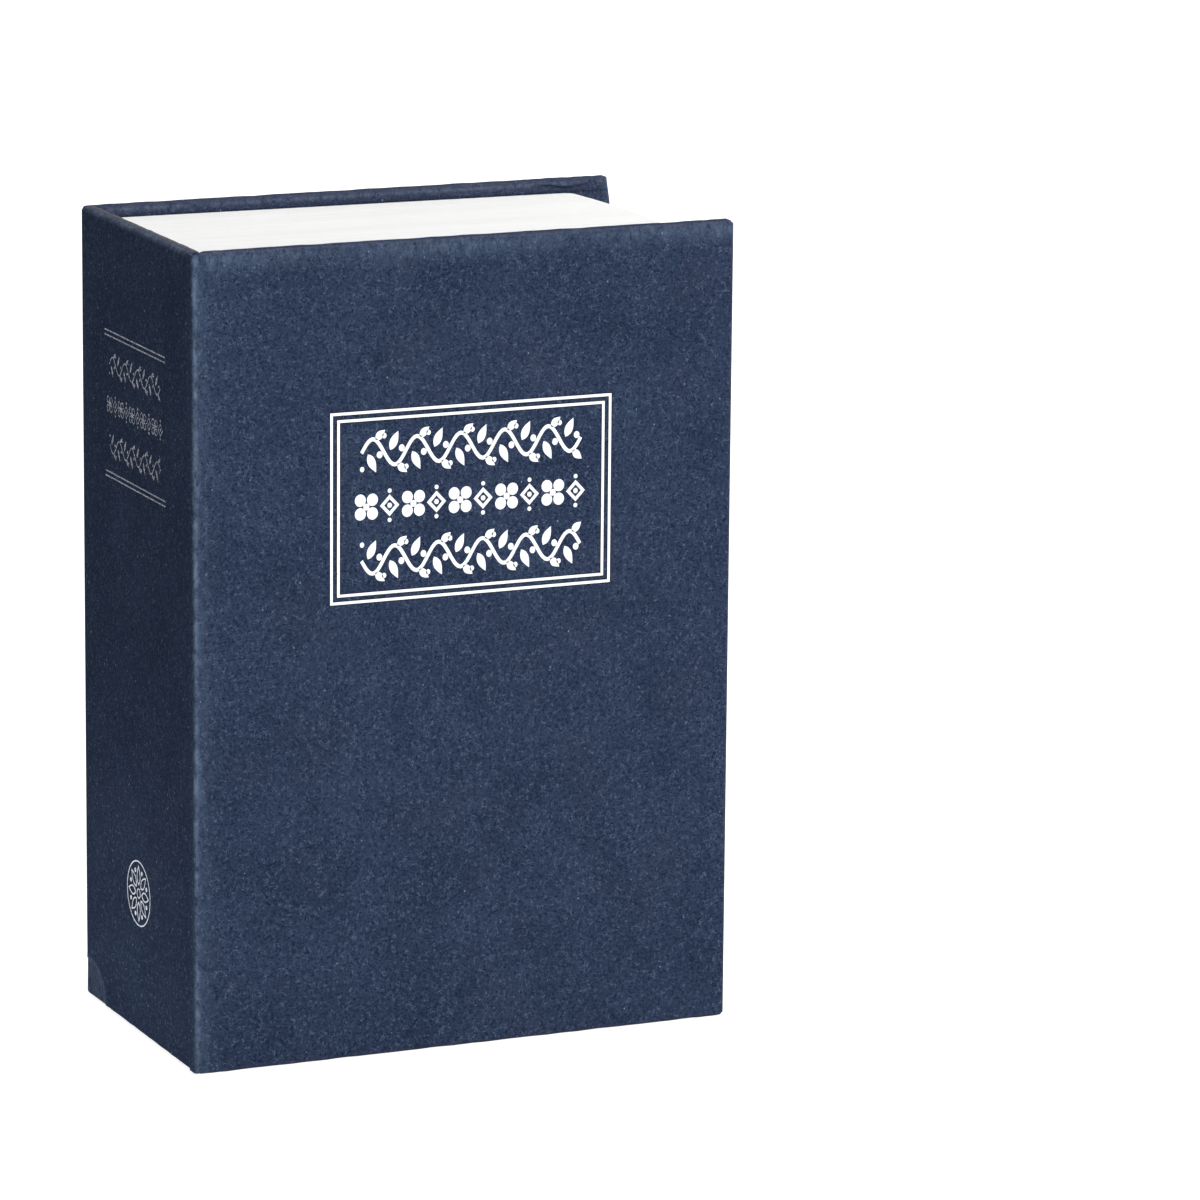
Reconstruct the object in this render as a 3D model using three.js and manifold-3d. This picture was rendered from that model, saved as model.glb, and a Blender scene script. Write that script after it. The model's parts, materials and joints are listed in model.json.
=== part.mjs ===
// Book diversion safe: a steel box with a cam lock, hidden in a cloth-bound dummy book.
// Millimetres, +Z up. The book stands on the tail edges of its cover, its spine is towards -X,
// its front cover towards -Y and its fore-edge towards +X.
// The origin is the middle of the closed book's foot.
import * as THREE from 'three';
import { mergeVertices } from 'three/addons/utils/BufferGeometryUtils.js';
import Module from 'manifold-3d';

const wasm = await Module();
wasm.setup();

// Driving dimensions of the case, which is the cover of the book
const coverWidth = 126;
const coverHeight = 180;
const bookDepth = 70;
const clothThickness = 0.4;
const boardThickness = 2.6;
const coverCornerRadius = 1.5;
const turnInWidth = 14;
const paperMargin = 4;
const paperForeMargin = 8.5;
const endpaperThickness = 0.2;
const jointGap = 0.4;
const mitreGap = 0.3;
const jointLining = 8;

// Clearances
const glueLine = 0.1;
const clearance = 0.3;
const flangeClearance = 0.4;

// Page block moulding
const headSquare = 3.3;
const foreSquare = 8.1;
const foreSwell = 1.8;
const spineSpace = 7.4;
const pageCornerRadius = 3;
const pageWall = 2;
const webThickness = 1.6;
const foreWebWidth = 11.6;
const endWebWidth = 6;
const ribThickness = 1.6;
const ribFootDepth = 23;
const ribSetback = 0.6;
const endRibCount = 3;
const foreRibCount = 4;

// Steel box and lid
const steelThickness = 1;
const lidSink = 1.2;
const landDrop = 6;
const landWidth = 44;
const slopeRun = 8;
const foldRadius = 3;
const flangeDrop = 6;
const foreGap = 1.3;
const endGap = 0.9;
const hingeRoom = 6.4;
const lidOverhang = 1.5;

// Butt hinges of the lid
const hingeLength = 30;
const hingeSpacing = 90;
const knuckleCount = 5;
const knuckleRadius = 1.8;
const knuckleGap = 0.3;
const hingePinRadius = 0.9;
const hingePinHeadRadius = 1.6;
const hingePinHeadHeight = 0.8;
const leafThickness = 0.8;
const boxLeafWidth = 11;
const boxRivetReach = 6.5;
const lidLeafWidth = 13;
const lidRivetReach = 9;
const leafRivetSpacing = 18;

// Rivets
const rivetShankRadius = 1.1;
const rivetHeadRadius = 2;
const rivetHeadHeight = 0.7;

// Cam lock
const lockInset = 17;
const bezelRadius = 11.5;
const bezelRimRadius = 8.6;
const bezelHeight = 3.5;
const bezelEdge = 0.5;
const lockBodyRadius = 9;
const lockFlatReach = 8;
const lockBodyLength = 15;
const plugRadius = 6.5;
const plugHeadRadius = 7.6;
const plugHeadThickness = 0.9;
const plugSink = 0.4;
const lockWasherThickness = 0.8;
const nutSides = 6;
const nutWidth = 22;
const nutThickness = 3.2;
const stopThickness = 0.8;
const stopHubRadius = 6.9;
const camThickness = 1.6;
const camWidth = 12;
const camReach = 14;
const tailWidth = 6;
const camScrewShankRadius = 1.3;
const camScrewLength = 7;
const camScrewHeadRadius = 4.4;
const camScrewHeadHeight = 1.8;
const screwSlotWidth = 0.9;
const screwSlotDepth = 0.9;
const waferCount = 4;
const waferThickness = 0.7;
const waferPitch = 3;
const waferStart = 2;
const waferWidth = 6;
const waferLength = 11.2;

// Strike that the cam turns behind
const strikeThickness = 1.2;
const strikeWidth = 22;
const strikeHeight = 12.4;
const strikeReach = 4.5;
const strikeRivetSpacing = 12;
const strikeRivetReach = 6;

// Keys on their split ring
const bladeLength = 28;
const bladeRoot = 8;
const bladeWidth = 7.6;
const bladeThickness = 1.6;
const keywayLength = 17;
const headLength = 26;
const headEndWidth = 26;
const headNeckWidth = 20;
const headThickness = 2.8;
const headCornerRadius = 5;
const slotLength = 11.5;
const slotWidth = 5;
const slotRim = 3.5;
const pocketGap = 0.2;
const ringRadius = 9;
const ringWireRadius = 0.6;
const ringPitch = 1.7;
const ringTurns = 2;
const keyLift = 3.4;
const keySetback = 1.2;
const secondKeySetback = 2.8;
const secondKeyTurn = THREE.MathUtils.degToRad(6);
const keyBackGap = 1;

// Cuts run this far past the faces that they open
const overrun = 1;

// Facets of round shapes
const bigRound = 32;
const smallRound = 16;
const cornerSteps = 5;
const ringSteps = 24;
const ringSides = 6;
const mergeTolerance = 1e-4;

// Faces of the closed book
const left = -coverWidth / 2;
const right = coverWidth / 2;
const front = -bookDepth / 2;
const back = bookDepth / 2;
const caseThickness = 2 * clothThickness + 2 * glueLine + boardThickness;
const boardInset = clothThickness + glueLine;
const pocketDepth = boardThickness + 2 * glueLine;

const book = new THREE.Group();

const materials = {
  cloth: new THREE.MeshStandardMaterial({ color: 0x303c56, roughness: 0.85, metalness: 0 }),
  board: new THREE.MeshStandardMaterial({ color: 0x9a8f7e, roughness: 0.9, metalness: 0 }),
  paper: new THREE.MeshStandardMaterial({ color: 0xf0efec, roughness: 0.8, metalness: 0 }),
  page: new THREE.MeshStandardMaterial({ color: 0xf2f2f0, roughness: 0.55, metalness: 0 }),
  paint: new THREE.MeshStandardMaterial({ color: 0x3d3d3f, roughness: 0.6, metalness: 0.1 }),
  zinc: new THREE.MeshStandardMaterial({ color: 0xb9bbbd, roughness: 0.4, metalness: 0.9 }),
  chrome: new THREE.MeshStandardMaterial({ color: 0xd8dadc, roughness: 0.12, metalness: 1 }),
  nickel: new THREE.MeshStandardMaterial({ color: 0xd6d3ca, roughness: 0.25, metalness: 1 }),
  brass: new THREE.MeshStandardMaterial({ color: 0xb79a58, roughness: 0.35, metalness: 1 }),
  plastic: new THREE.MeshStandardMaterial({ color: 0x141416, roughness: 0.4, metalness: 0 }),
};

// Turns a closed three.js geometry into a solid that can be cut and joined.
function solidOf(geometry) {
  const bare = geometry.clone();
  bare.deleteAttribute('normal');
  bare.deleteAttribute('uv');
  const merged = mergeVertices(bare, mergeTolerance);
  return new wasm.Manifold(new wasm.Mesh({
    numProp: 3,
    vertProperties: new Float32Array(merged.attributes.position.array),
    triVerts: new Uint32Array(merged.index.array),
  }));
}

function geometryOf(solid) {
  const mesh = solid.getMesh();
  const geometry = new THREE.BufferGeometry();
  geometry.setAttribute('position', new THREE.BufferAttribute(new Float32Array(mesh.vertProperties), 3));
  geometry.setIndex(new THREE.BufferAttribute(new Uint32Array(mesh.triVerts), 1));
  geometry.computeVertexNormals();
  return geometry;
}

function piece(name, shape, material, parent = book) {
  const geometry = shape.isBufferGeometry ? shape : geometryOf(shape);
  const mesh = new THREE.Mesh(geometry, material);
  mesh.name = name;
  parent.add(mesh);
  return mesh;
}

function block([x0, x1], [y0, y1], [z0, z1]) {
  const geometry = new THREE.BoxGeometry(x1 - x0, y1 - y0, z1 - z0);
  geometry.translate((x0 + x1) / 2, (y0 + y1) / 2, (z0 + z1) / 2);
  return solidOf(geometry);
}

// A prism of a flat outline. Its own X and Y become the two named directions, its depth the third.
const layouts = {
  alongX: [new THREE.Vector3(0, 1, 0), new THREE.Vector3(0, 0, 1), new THREE.Vector3(1, 0, 0)],
  alongY: [new THREE.Vector3(0, 0, 1), new THREE.Vector3(1, 0, 0), new THREE.Vector3(0, 1, 0)],
  alongZ: [new THREE.Vector3(1, 0, 0), new THREE.Vector3(0, 1, 0), new THREE.Vector3(0, 0, 1)],
};

function prism(layout, shape, [start, end]) {
  const geometry = new THREE.ExtrudeGeometry(shape, {
    depth: end - start,
    bevelEnabled: false,
    curveSegments: cornerSteps,
  });
  geometry.translate(0, 0, start);
  geometry.applyMatrix4(new THREE.Matrix4().makeBasis(...layouts[layout]));
  return solidOf(geometry);
}

function outline(points) {
  return new THREE.Shape(points.map(([u, v]) => new THREE.Vector2(u, v)));
}

// An outline whose corners are rounded, each by its own radius.
function roundedOutline(corners) {
  const shape = new THREE.Shape();
  corners.forEach(([u, v, radius], i) => {
    const here = new THREE.Vector2(u, v);
    const before = new THREE.Vector2(...corners.at(i - 1));
    const after = new THREE.Vector2(...corners[(i + 1) % corners.length]);
    const enter = here.clone().add(before.sub(here).setLength(radius));
    const leave = here.clone().add(after.sub(here).setLength(radius));
    if (i === 0) {
      shape.moveTo(enter.x, enter.y);
    } else {
      shape.lineTo(enter.x, enter.y);
    }
    if (radius > 0) {
      shape.quadraticCurveTo(here.x, here.y, leave.x, leave.y);
    }
  });
  shape.closePath();
  return shape;
}

// A round bar along X, Y or Z from one place to another, centred on the two other coordinates.
function bar(layout, radius, [u, v], span, facets = smallRound) {
  const shape = new THREE.Shape();
  for (let i = 0; i < facets; i += 1) {
    const angle = (i + 0.5) / facets * 2 * Math.PI;
    const place = [u + radius * Math.cos(angle), v + radius * Math.sin(angle)];
    if (i === 0) {
      shape.moveTo(...place);
    } else {
      shape.lineTo(...place);
    }
  }
  shape.closePath();
  return prism(layout, shape, span);
}

// A turned shape round the Y axis, from a profile of radius and height that runs round its section.
function turned(profile, facets = bigRound) {
  const points = profile.map(([radius, height]) => new THREE.Vector2(radius, height));
  return solidOf(new THREE.LatheGeometry(points, facets));
}

// A chain of points moved sideways by one distance, to its left-hand side, with its corners mitred.
function offsetLine(points, distance) {
  const normals = points.slice(1).map(([x, y], i) => {
    const [px, py] = points[i];
    return new THREE.Vector2(py - y, x - px).normalize();
  });
  return points.map(([x, y], i) => {
    const a = normals[Math.max(i - 1, 0)];
    const b = normals[Math.min(i, normals.length - 1)];
    const scale = distance / (1 + a.dot(b));
    return [x + (a.x + b.x) * scale, y + (a.y + b.y) * scale];
  });
}

function arcPoints([cx, cy], radius, [from, to], steps) {
  return Array.from({ length: steps + 1 }, (_, i) => {
    const angle = from + (to - from) * i / steps;
    return [cx + radius * Math.cos(angle), cy + radius * Math.sin(angle)];
  });
}

// Case boards. The front board and the spine board meet in a mitre at the book's front left corner,
// where the cover folds. The back board spans the whole width.
function coverOutline(inset) {
  const radius = coverCornerRadius;
  return roundedOutline([
    [inset, left + inset, 0],
    [inset, right - inset, radius],
    [coverHeight - inset, right - inset, radius],
    [coverHeight - inset, left + inset, 0],
  ]);
}

// What the mitre takes off at the corner, from the front board's side or the spine's, with the mitred
// face set back by an inset. Its outline is a triangle of reaches from the corner along X and Y.
function mitreCut(side, inset) {
  const near = mitreGap + inset * Math.SQRT2 - overrun;
  const far = mitreGap + inset * Math.SQRT2 + caseThickness + overrun;
  const reaches = [[near, -overrun], [far, caseThickness + overrun], [near, caseThickness + overrun]];
  const corners = side === 'front' ? reaches : reaches.map(([x, y]) => [y, x]).reverse();
  const points = corners.map(([x, y]) => [left + x, front + y]);
  return prism('alongZ', outline(points), [-overrun, coverHeight + overrun]);
}

// Each half of the case as a block, smaller on every side by an inset
const frontInner = front + caseThickness;
const backInner = back - caseThickness;
const spineInner = left + caseThickness;
const frontSlab = (inset) => prism('alongY', coverOutline(inset), [front + inset, frontInner - inset])
  .subtract(mitreCut('front', inset));
const backSlab = (inset) => prism('alongY', coverOutline(inset), [backInner + inset, back - inset]);
const spineSlab = (inset, end) => block(
  [left + inset, spineInner - inset],
  [front + inset, end],
  [inset, coverHeight - inset],
).subtract(mitreCut('spine', inset));

piece('front_board', frontSlab(boardInset), materials.board);
piece('spine_board', spineSlab(boardInset, backInner - jointGap), materials.board);
piece('back_board', backSlab(boardInset), materials.board);

// Cover cloth of the front board: outer face and edges, turn-ins and the lining of the joint
const windowHeight = [turnInWidth, coverHeight - turnInWidth];
const frontCloth = frontSlab(0)
  .subtract(frontSlab(clothThickness))
  .subtract(block(
    [spineInner + jointLining, right - turnInWidth],
    [front + clothThickness + pocketDepth / 2, frontInner + overrun],
    windowHeight,
  ));
piece('front_cover_cloth', frontCloth, materials.cloth);

// Cover cloth of the spine and the back board, in one sheet with its turn-ins and lining
const spineBackCloth = spineSlab(0, back)
  .add(backSlab(0))
  .subtract(spineSlab(clothThickness, back - clothThickness))
  .subtract(backSlab(clothThickness))
  .subtract(block(
    [left + clothThickness + pocketDepth / 2, right - turnInWidth],
    [frontInner + jointLining, back - clothThickness - pocketDepth / 2],
    windowHeight,
  ));
piece('spine_back_cloth', spineBackCloth, materials.cloth);

// Endpapers, glued over the turn-ins with a margin of cloth left showing, wider at the fore-edge
const paperHeight = [paperMargin, coverHeight - paperMargin];
piece('front_endpaper', block(
  [spineInner + paperMargin, right - paperForeMargin],
  [frontInner + glueLine, frontInner + glueLine + endpaperThickness],
  paperHeight,
), materials.paper);
piece('back_endpaper', block(
  [spineInner + paperMargin, right - paperForeMargin],
  [backInner - glueLine - endpaperThickness, backInner - glueLine],
  paperHeight,
), materials.paper);

// Page block: a moulded shell on three sides, with a flat web round the box and ribs behind it.
// Its fore-edge swells a little between rounded corners.
const pageFront = frontInner + glueLine + endpaperThickness + clearance;
const pageBack = backInner - 2 * glueLine - endpaperThickness;
const pageLeft = spineInner + spineSpace;
const pageRight = right - foreSquare;
const pageBottom = headSquare;
const pageTop = coverHeight - headSquare;
const webBack = pageFront + webThickness;
const webRight = pageRight - foreWebWidth;
const webBottom = pageBottom + endWebWidth;
const webTop = pageTop - endWebWidth;

const lidRight = webRight - foreGap;
const boxBottom = webBottom + endGap;
const boxTop = webTop - endGap;
const boxRight = lidRight - steelThickness - flangeClearance;
const boxLeft = spineInner + hingeRoom;
const boxBack = pageBack;

const swellEnd = pageRight - foreSwell;
const swellStart = swellEnd - pageCornerRadius;
const pageShape = new THREE.Shape();
pageShape.moveTo(pageLeft, pageFront);
pageShape.lineTo(swellStart, pageFront);
pageShape.quadraticCurveTo(swellEnd, pageFront, swellEnd, pageFront + pageCornerRadius);
pageShape.quadraticCurveTo(
  pageRight + foreSwell,
  (pageFront + pageBack) / 2,
  swellEnd,
  pageBack - pageCornerRadius,
);
pageShape.quadraticCurveTo(swellEnd, pageBack, swellStart, pageBack);
pageShape.lineTo(pageLeft, pageBack);
pageShape.closePath();
let pageBlock = prism('alongZ', pageShape, [pageBottom, pageTop])
  .subtract(block(
    [pageLeft + pageWall, swellEnd - pageWall],
    [webBack, pageBack + overrun],
    [pageBottom + pageWall, pageTop - pageWall],
  ))
  .subtract(block(
    [pageLeft - overrun, webRight],
    [pageFront - overrun, pageBack + overrun],
    [webBottom, webTop],
  ));

// The end walls run on to the spine, so that the leaves look bound there
for (const wallHeight of [[pageBottom, pageBottom + pageWall], [pageTop - pageWall, pageTop]]) {
  pageBlock = pageBlock.add(block(
    [spineInner + clearance, pageLeft + pageWall],
    [pageFront, pageBack],
    wallHeight,
  ));
}

// A rib's outline: rooted in the outer wall and the web, with a foot that reaches the box
const ribFront = webBack - webThickness / 2;
const ribBack = pageBack - ribSetback;
const ribFoot = pageBack - ribFootDepth;
const ribOutline = (wallPlace, webPlace, boxPlace) => [
  [ribFront, wallPlace],
  [ribBack, wallPlace],
  [ribBack, boxPlace],
  [ribFoot, boxPlace],
  [ribFoot, webPlace],
  [ribFront, webPlace],
];
const endRibs = [
  ribOutline(pageBottom + pageWall / 2, webBottom - ribSetback, boxBottom - clearance),
  ribOutline(pageTop - pageWall / 2, webTop + ribSetback, boxTop + clearance).reverse(),
];
for (const shape of endRibs.map(outline)) {
  for (let i = 1; i <= endRibCount; i += 1) {
    const x = pageLeft + (webRight - pageLeft) * i / (endRibCount + 1);
    pageBlock = pageBlock.add(prism('alongX', shape, [x, x + ribThickness]));
  }
}
const foreRibPoints = ribOutline(swellEnd - pageWall / 2, webRight + ribSetback, boxRight + clearance);
const foreRib = outline(foreRibPoints.map(([y, x]) => [x, y]));
for (let i = 1; i <= foreRibCount; i += 1) {
  const z = pageBottom + (pageTop - pageBottom) * i / (foreRibCount + 1);
  pageBlock = pageBlock.add(prism('alongZ', foreRib, [z - ribThickness / 2, z + ribThickness / 2]));
}
piece('page_block', pageBlock, materials.page);

// Lid line: the outer face of the lid sheet, from the hinge edge over the step to the folded edge
const raisedY = pageFront + lidSink;
const landY = raisedY + landDrop;
const lidLeft = boxLeft - lidOverhang;
const stepFoot = lidRight - landWidth;
const foldCentre = [lidRight - foldRadius, landY + foldRadius];
const lidLine = [
  [lidLeft, raisedY],
  [stepFoot - slopeRun, raisedY],
  [stepFoot, landY],
  ...arcPoints(foldCentre, foldRadius, [-Math.PI / 2, 0], cornerSteps),
  [lidRight, landY + flangeDrop],
];
const lidInnerLine = offsetLine(lidLine, steelThickness);

// Hinge axis: the knuckles clear the lid above them and the box wall beside them
const lidUnder = raisedY + steelThickness;
const hingeX = boxLeft - clearance - knuckleRadius;
const hingeY = lidUnder + clearance + knuckleRadius;
const hingeHeights = [-1, 1].map((side) => coverHeight / 2 + side * hingeSpacing / 2);
const rivetHoleRadius = rivetShankRadius + clearance;
const leafRivetHeights = [-1, 1].map((side) => side * leafRivetSpacing / 2);

// Lock place on the lid
const lockX = lidRight - lockInset;
const lockZ = coverHeight / 2;
const landCut = [landY - overrun, landY + steelThickness + overrun];
const lockHole = bar('alongY', lockBodyRadius + clearance, [lockZ, lockX], landCut, bigRound)
  .intersect(block(
    [lockX - lockFlatReach - clearance, lockX + lockFlatReach + clearance],
    landCut,
    [lockZ - bezelRadius, lockZ + bezelRadius],
  ));

let lidPanel = prism('alongZ', outline([...lidLine, ...lidInnerLine.reverse()]), [boxBottom, boxTop])
  .subtract(lockHole);
const raisedCut = [raisedY - overrun, lidUnder + overrun];
for (const hingeZ of hingeHeights) {
  for (const z of leafRivetHeights) {
    const place = [hingeZ + z, hingeX + lidRivetReach];
    lidPanel = lidPanel.subtract(bar('alongY', rivetHoleRadius, place, raisedCut));
  }
}
piece('lid_panel', lidPanel, materials.paint);

// Steel box: an open tray whose rim follows the underside of the lid
const rimLine = offsetLine(lidLine.slice(0, 4), steelThickness + clearance);
const boxShape = outline([
  [boxLeft, rimLine[0][1]],
  ...rimLine.slice(1),
  [boxRight, foldCentre[1]],
  [boxRight, boxBack],
  [boxLeft, boxBack],
]);
const hingeWallRim = hingeY - knuckleRadius + leafThickness + clearance;
const strikeSeat = boxRight - steelThickness;
const strikeFaceY = landY + lockBodyLength + clearance + stopThickness + 2 * glueLine - clearance;
const strikeRivetY = strikeFaceY - strikeRivetReach;
const strikeRivetHeights = [-1, 1].map((side) => lockZ + side * strikeRivetSpacing / 2);
const hingeWallCut = [boxLeft - overrun, boxLeft + steelThickness + overrun];
let steelBox = prism('alongZ', boxShape, [boxBottom, boxTop])
  .subtract(block(
    [boxLeft + steelThickness, boxRight - steelThickness],
    [raisedY - overrun, boxBack - steelThickness],
    [boxBottom + steelThickness, boxTop - steelThickness],
  ))
  .subtract(block(
    hingeWallCut,
    [raisedY - overrun, hingeWallRim],
    [boxBottom + steelThickness, boxTop - steelThickness],
  ));
for (const hingeZ of hingeHeights) {
  for (const z of leafRivetHeights) {
    const place = [hingeY + boxRivetReach, hingeZ + z];
    steelBox = steelBox.subtract(bar('alongX', rivetHoleRadius, place, hingeWallCut));
  }
}
const foreWallCut = [strikeSeat - overrun, boxRight + overrun];
for (const z of strikeRivetHeights) {
  steelBox = steelBox.subtract(bar('alongX', rivetHoleRadius, [strikeRivetY, z], foreWallCut));
}
piece('steel_box', steelBox, materials.paint);

// Rivets. A rivet is turned round its own Y axis, its head on the low side of its grip.
const rivetDomeShares = [[0, 1], [0.5, 0.93], [0.85, 0.6], [1, 0]];
function rivet(name, grip, place, turn) {
  const start = -glueLine;
  const end = grip + glueLine;
  const head = rivetDomeShares.map(([r, h]) => [r * rivetHeadRadius, start - h * rivetHeadHeight]);
  const tail = rivetDomeShares.map(([r, h]) => [r * rivetHeadRadius, end + h * rivetHeadHeight]);
  const profile = [...head, [rivetShankRadius, start], [rivetShankRadius, end], ...tail.reverse()];
  const mesh = piece(name, geometryOf(turned(profile, smallRound)), materials.zinc);
  mesh.position.set(...place);
  mesh.rotation.z = turn;
}

// Butt hinges: the box leaf has the odd knuckles, the lid leaf the even ones
const knucklePitch = hingeLength / knuckleCount;
const hingeSpan = [-hingeLength / 2, hingeLength / 2];
const hingeAxis = [0, 0];
function knuckle(index, radius, length) {
  const middle = hingeSpan[0] + (index + 0.5) * knucklePitch;
  return bar('alongZ', radius, hingeAxis, [middle - length / 2, middle + length / 2]);
}
function hingeLeaf(plate, first) {
  let leaf = plate;
  for (let i = 1 - first; i < knuckleCount; i += 2) {
    leaf = leaf.subtract(knuckle(i, knuckleRadius + clearance, knucklePitch + knuckleGap));
  }
  for (let i = first; i < knuckleCount; i += 2) {
    leaf = leaf.add(knuckle(i, knuckleRadius, knucklePitch - knuckleGap));
  }
  const boreSpan = [hingeSpan[0] - overrun, hingeSpan[1] + overrun];
  return leaf.subtract(bar('alongZ', hingePinRadius + clearance, hingeAxis, boreSpan));
}

const rivetCut = [-knuckleRadius - overrun, knuckleRadius + overrun];
const boxPlate = block([knuckleRadius - leafThickness, knuckleRadius], [0, boxLeafWidth], hingeSpan);
const lidPlate = block([0, lidLeafWidth], [-knuckleRadius, leafThickness - knuckleRadius], hingeSpan);
let boxLeaf = hingeLeaf(boxPlate, 0);
let lidLeaf = hingeLeaf(lidPlate, 1);
for (const z of leafRivetHeights) {
  boxLeaf = boxLeaf.subtract(bar('alongX', rivetHoleRadius, [boxRivetReach, z], rivetCut));
  lidLeaf = lidLeaf.subtract(bar('alongY', rivetHoleRadius, [z, lidRivetReach], rivetCut));
}

const pinHalf = hingeLength / 2 + clearance;
const hingePin = bar('alongZ', hingePinRadius, hingeAxis, [-pinHalf, pinHalf])
  .add(bar('alongZ', hingePinHeadRadius, hingeAxis, [-pinHalf - hingePinHeadHeight, -pinHalf]))
  .add(bar('alongZ', hingePinHeadRadius, hingeAxis, [pinHalf, pinHalf + hingePinHeadHeight]));

['lower', 'upper'].forEach((level, h) => {
  const hinge = new THREE.Group();
  hinge.position.set(hingeX, hingeY, hingeHeights[h]);
  book.add(hinge);
  piece(`box_hinge_leaf_${level}`, boxLeaf, materials.zinc, hinge);
  piece(`lid_hinge_leaf_${level}`, lidLeaf, materials.zinc, hinge);
  piece(`hinge_pin_${level}`, hingePin, materials.zinc, hinge);
  leafRivetHeights.forEach((z, i) => {
    const number = 2 * h + i + 1;
    const height = hingeHeights[h] + z;
    const grip = leafThickness + clearance + steelThickness;
    const leafX = hingeX + knuckleRadius - leafThickness;
    rivet(`box_rivet_${number}`, grip, [leafX, hingeY + boxRivetReach, height], -Math.PI / 2);
    rivet(`lid_rivet_${number}`, grip, [hingeX + lidRivetReach, raisedY, height], 0);
  });
});

// Strike: an angle riveted inside the fore-edge wall, its lip in front of the turned cam
const strikeSpan = [lockZ - strikeWidth / 2, lockZ + strikeWidth / 2];
const strikeRight = strikeSeat - glueLine;
let strikePlate = block(
  [strikeRight - strikeThickness, strikeRight],
  [strikeFaceY - strikeHeight, strikeFaceY],
  strikeSpan,
).add(block(
  [strikeRight - strikeReach, strikeRight],
  [strikeFaceY - strikeThickness, strikeFaceY],
  strikeSpan,
));
const strikeGrip = strikeThickness + glueLine + steelThickness;
strikeRivetHeights.forEach((z, i) => {
  const cut = [strikeRight - strikeReach, boxRight];
  strikePlate = strikePlate.subtract(bar('alongX', rivetHoleRadius, [strikeRivetY, z], cut));
  rivet(`strike_rivet_${i + 1}`, strikeGrip, [strikeRight - strikeThickness, strikeRivetY, z], -Math.PI / 2);
});
piece('strike_plate', strikePlate, materials.zinc);

// Cam lock, built round its own Y axis with the lid's outer face at zero
const lock = new THREE.Group();
lock.position.set(lockX, landY, lockZ);
book.add(lock);

const boreRadius = plugRadius + clearance;
const plugTop = plugSink - bezelHeight;
const plugShoulder = plugTop + plugHeadThickness;
const recessFloor = plugShoulder + clearance;
const lockBack = lockBodyLength;
const stopStart = lockBack + clearance + glueLine;
const camStart = stopStart + stopThickness + glueLine;
const camEnd = camStart + camThickness;
const tailEnd = camEnd + glueLine / 2;

// A pie slice of a ring, from one angle to another, measured from +Z towards +X
function ringSlice([inner, outer], [from, to], span) {
  const start = THREE.MathUtils.degToRad(from);
  const end = THREE.MathUtils.degToRad(to);
  return prism('alongY', outline([
    ...arcPoints([0, 0], outer, [start, end], smallRound),
    ...arcPoints([0, 0], inner, [end, start], smallRound),
  ]), span);
}
const stopNotch = [-150, -26];
const stopLug = [-58, -28];
const lockAxis = [0, 0];

const housing = turned([
  [bezelRimRadius, -bezelHeight],
  [bezelRadius, -glueLine - bezelEdge],
  [bezelRadius, -glueLine],
  [lockBodyRadius, -glueLine],
  [lockBodyRadius, lockBack],
  [boreRadius, lockBack],
  [boreRadius, recessFloor],
  [plugHeadRadius + clearance, recessFloor],
  [plugHeadRadius + clearance, -bezelHeight],
  [bezelRimRadius, -bezelHeight],
]);
const lockBodySpan = [-glueLine, lockBack + overrun];
const sideCut = (side) => block(
  [side * lockFlatReach, side * bezelRadius].sort((a, b) => a - b),
  lockBodySpan,
  [-bezelRadius, bezelRadius],
);
const lugEnd = stopStart + stopThickness / 2;
const lockHousing = housing
  .subtract(sideCut(1))
  .subtract(sideCut(-1))
  .add(ringSlice([stopHubRadius + clearance, lockFlatReach], stopLug, [lockBack - clearance, lugEnd]));
piece('lock_housing', lockHousing, materials.chrome, lock);

const washerStart = steelThickness + glueLine;
const washerEnd = washerStart + lockWasherThickness;
const nutStart = washerEnd + glueLine;
const threadRadius = lockBodyRadius + clearance;
piece('lock_washer', turned([
  [threadRadius, washerStart],
  [bezelRadius, washerStart],
  [bezelRadius, washerEnd],
  [threadRadius, washerEnd],
  [threadRadius, washerStart],
]), materials.zinc, lock);

const nutCorners = Array.from({ length: nutSides }, (_, i) => {
  const angle = 2 * Math.PI * i / nutSides;
  const radius = nutWidth / 2 / Math.cos(Math.PI / nutSides);
  return [radius * Math.cos(angle), radius * Math.sin(angle)];
});
const nutCut = [nutStart - overrun, nutStart + nutThickness + overrun];
piece('lock_nut', prism('alongY', outline(nutCorners), [nutStart, nutStart + nutThickness])
  .subtract(bar('alongY', threadRadius, lockAxis, nutCut, bigRound)), materials.brass, lock);

// Plug: keyway, slots for the wafers, square tail for the cam and a bore for its screw
const keywayWidth = bladeWidth + 2 * clearance;
const keywayThickness = bladeThickness + 2 * clearance;
const waferSlot = (index) => {
  const start = waferStart + index * waferPitch;
  return [start, start + waferThickness];
};
let plug = turned([
  [0, plugTop],
  [plugHeadRadius, plugTop],
  [plugHeadRadius, plugShoulder],
  [plugRadius, plugShoulder],
  [plugRadius, lockBack + clearance],
  [0, lockBack + clearance],
])
  .add(block([-tailWidth / 2, tailWidth / 2], [lockBack, tailEnd], [-tailWidth / 2, tailWidth / 2]))
  .subtract(block(
    [-keywayThickness / 2, keywayThickness / 2],
    [plugTop - overrun, plugTop + keywayLength],
    [-keywayWidth / 2, keywayWidth / 2],
  ))
  .subtract(bar(
    'alongY',
    camScrewShankRadius + clearance,
    lockAxis,
    [tailEnd - camScrewLength - clearance, tailEnd + overrun],
  ));
const waferSpace = waferWidth + 2 * clearance;
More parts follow.
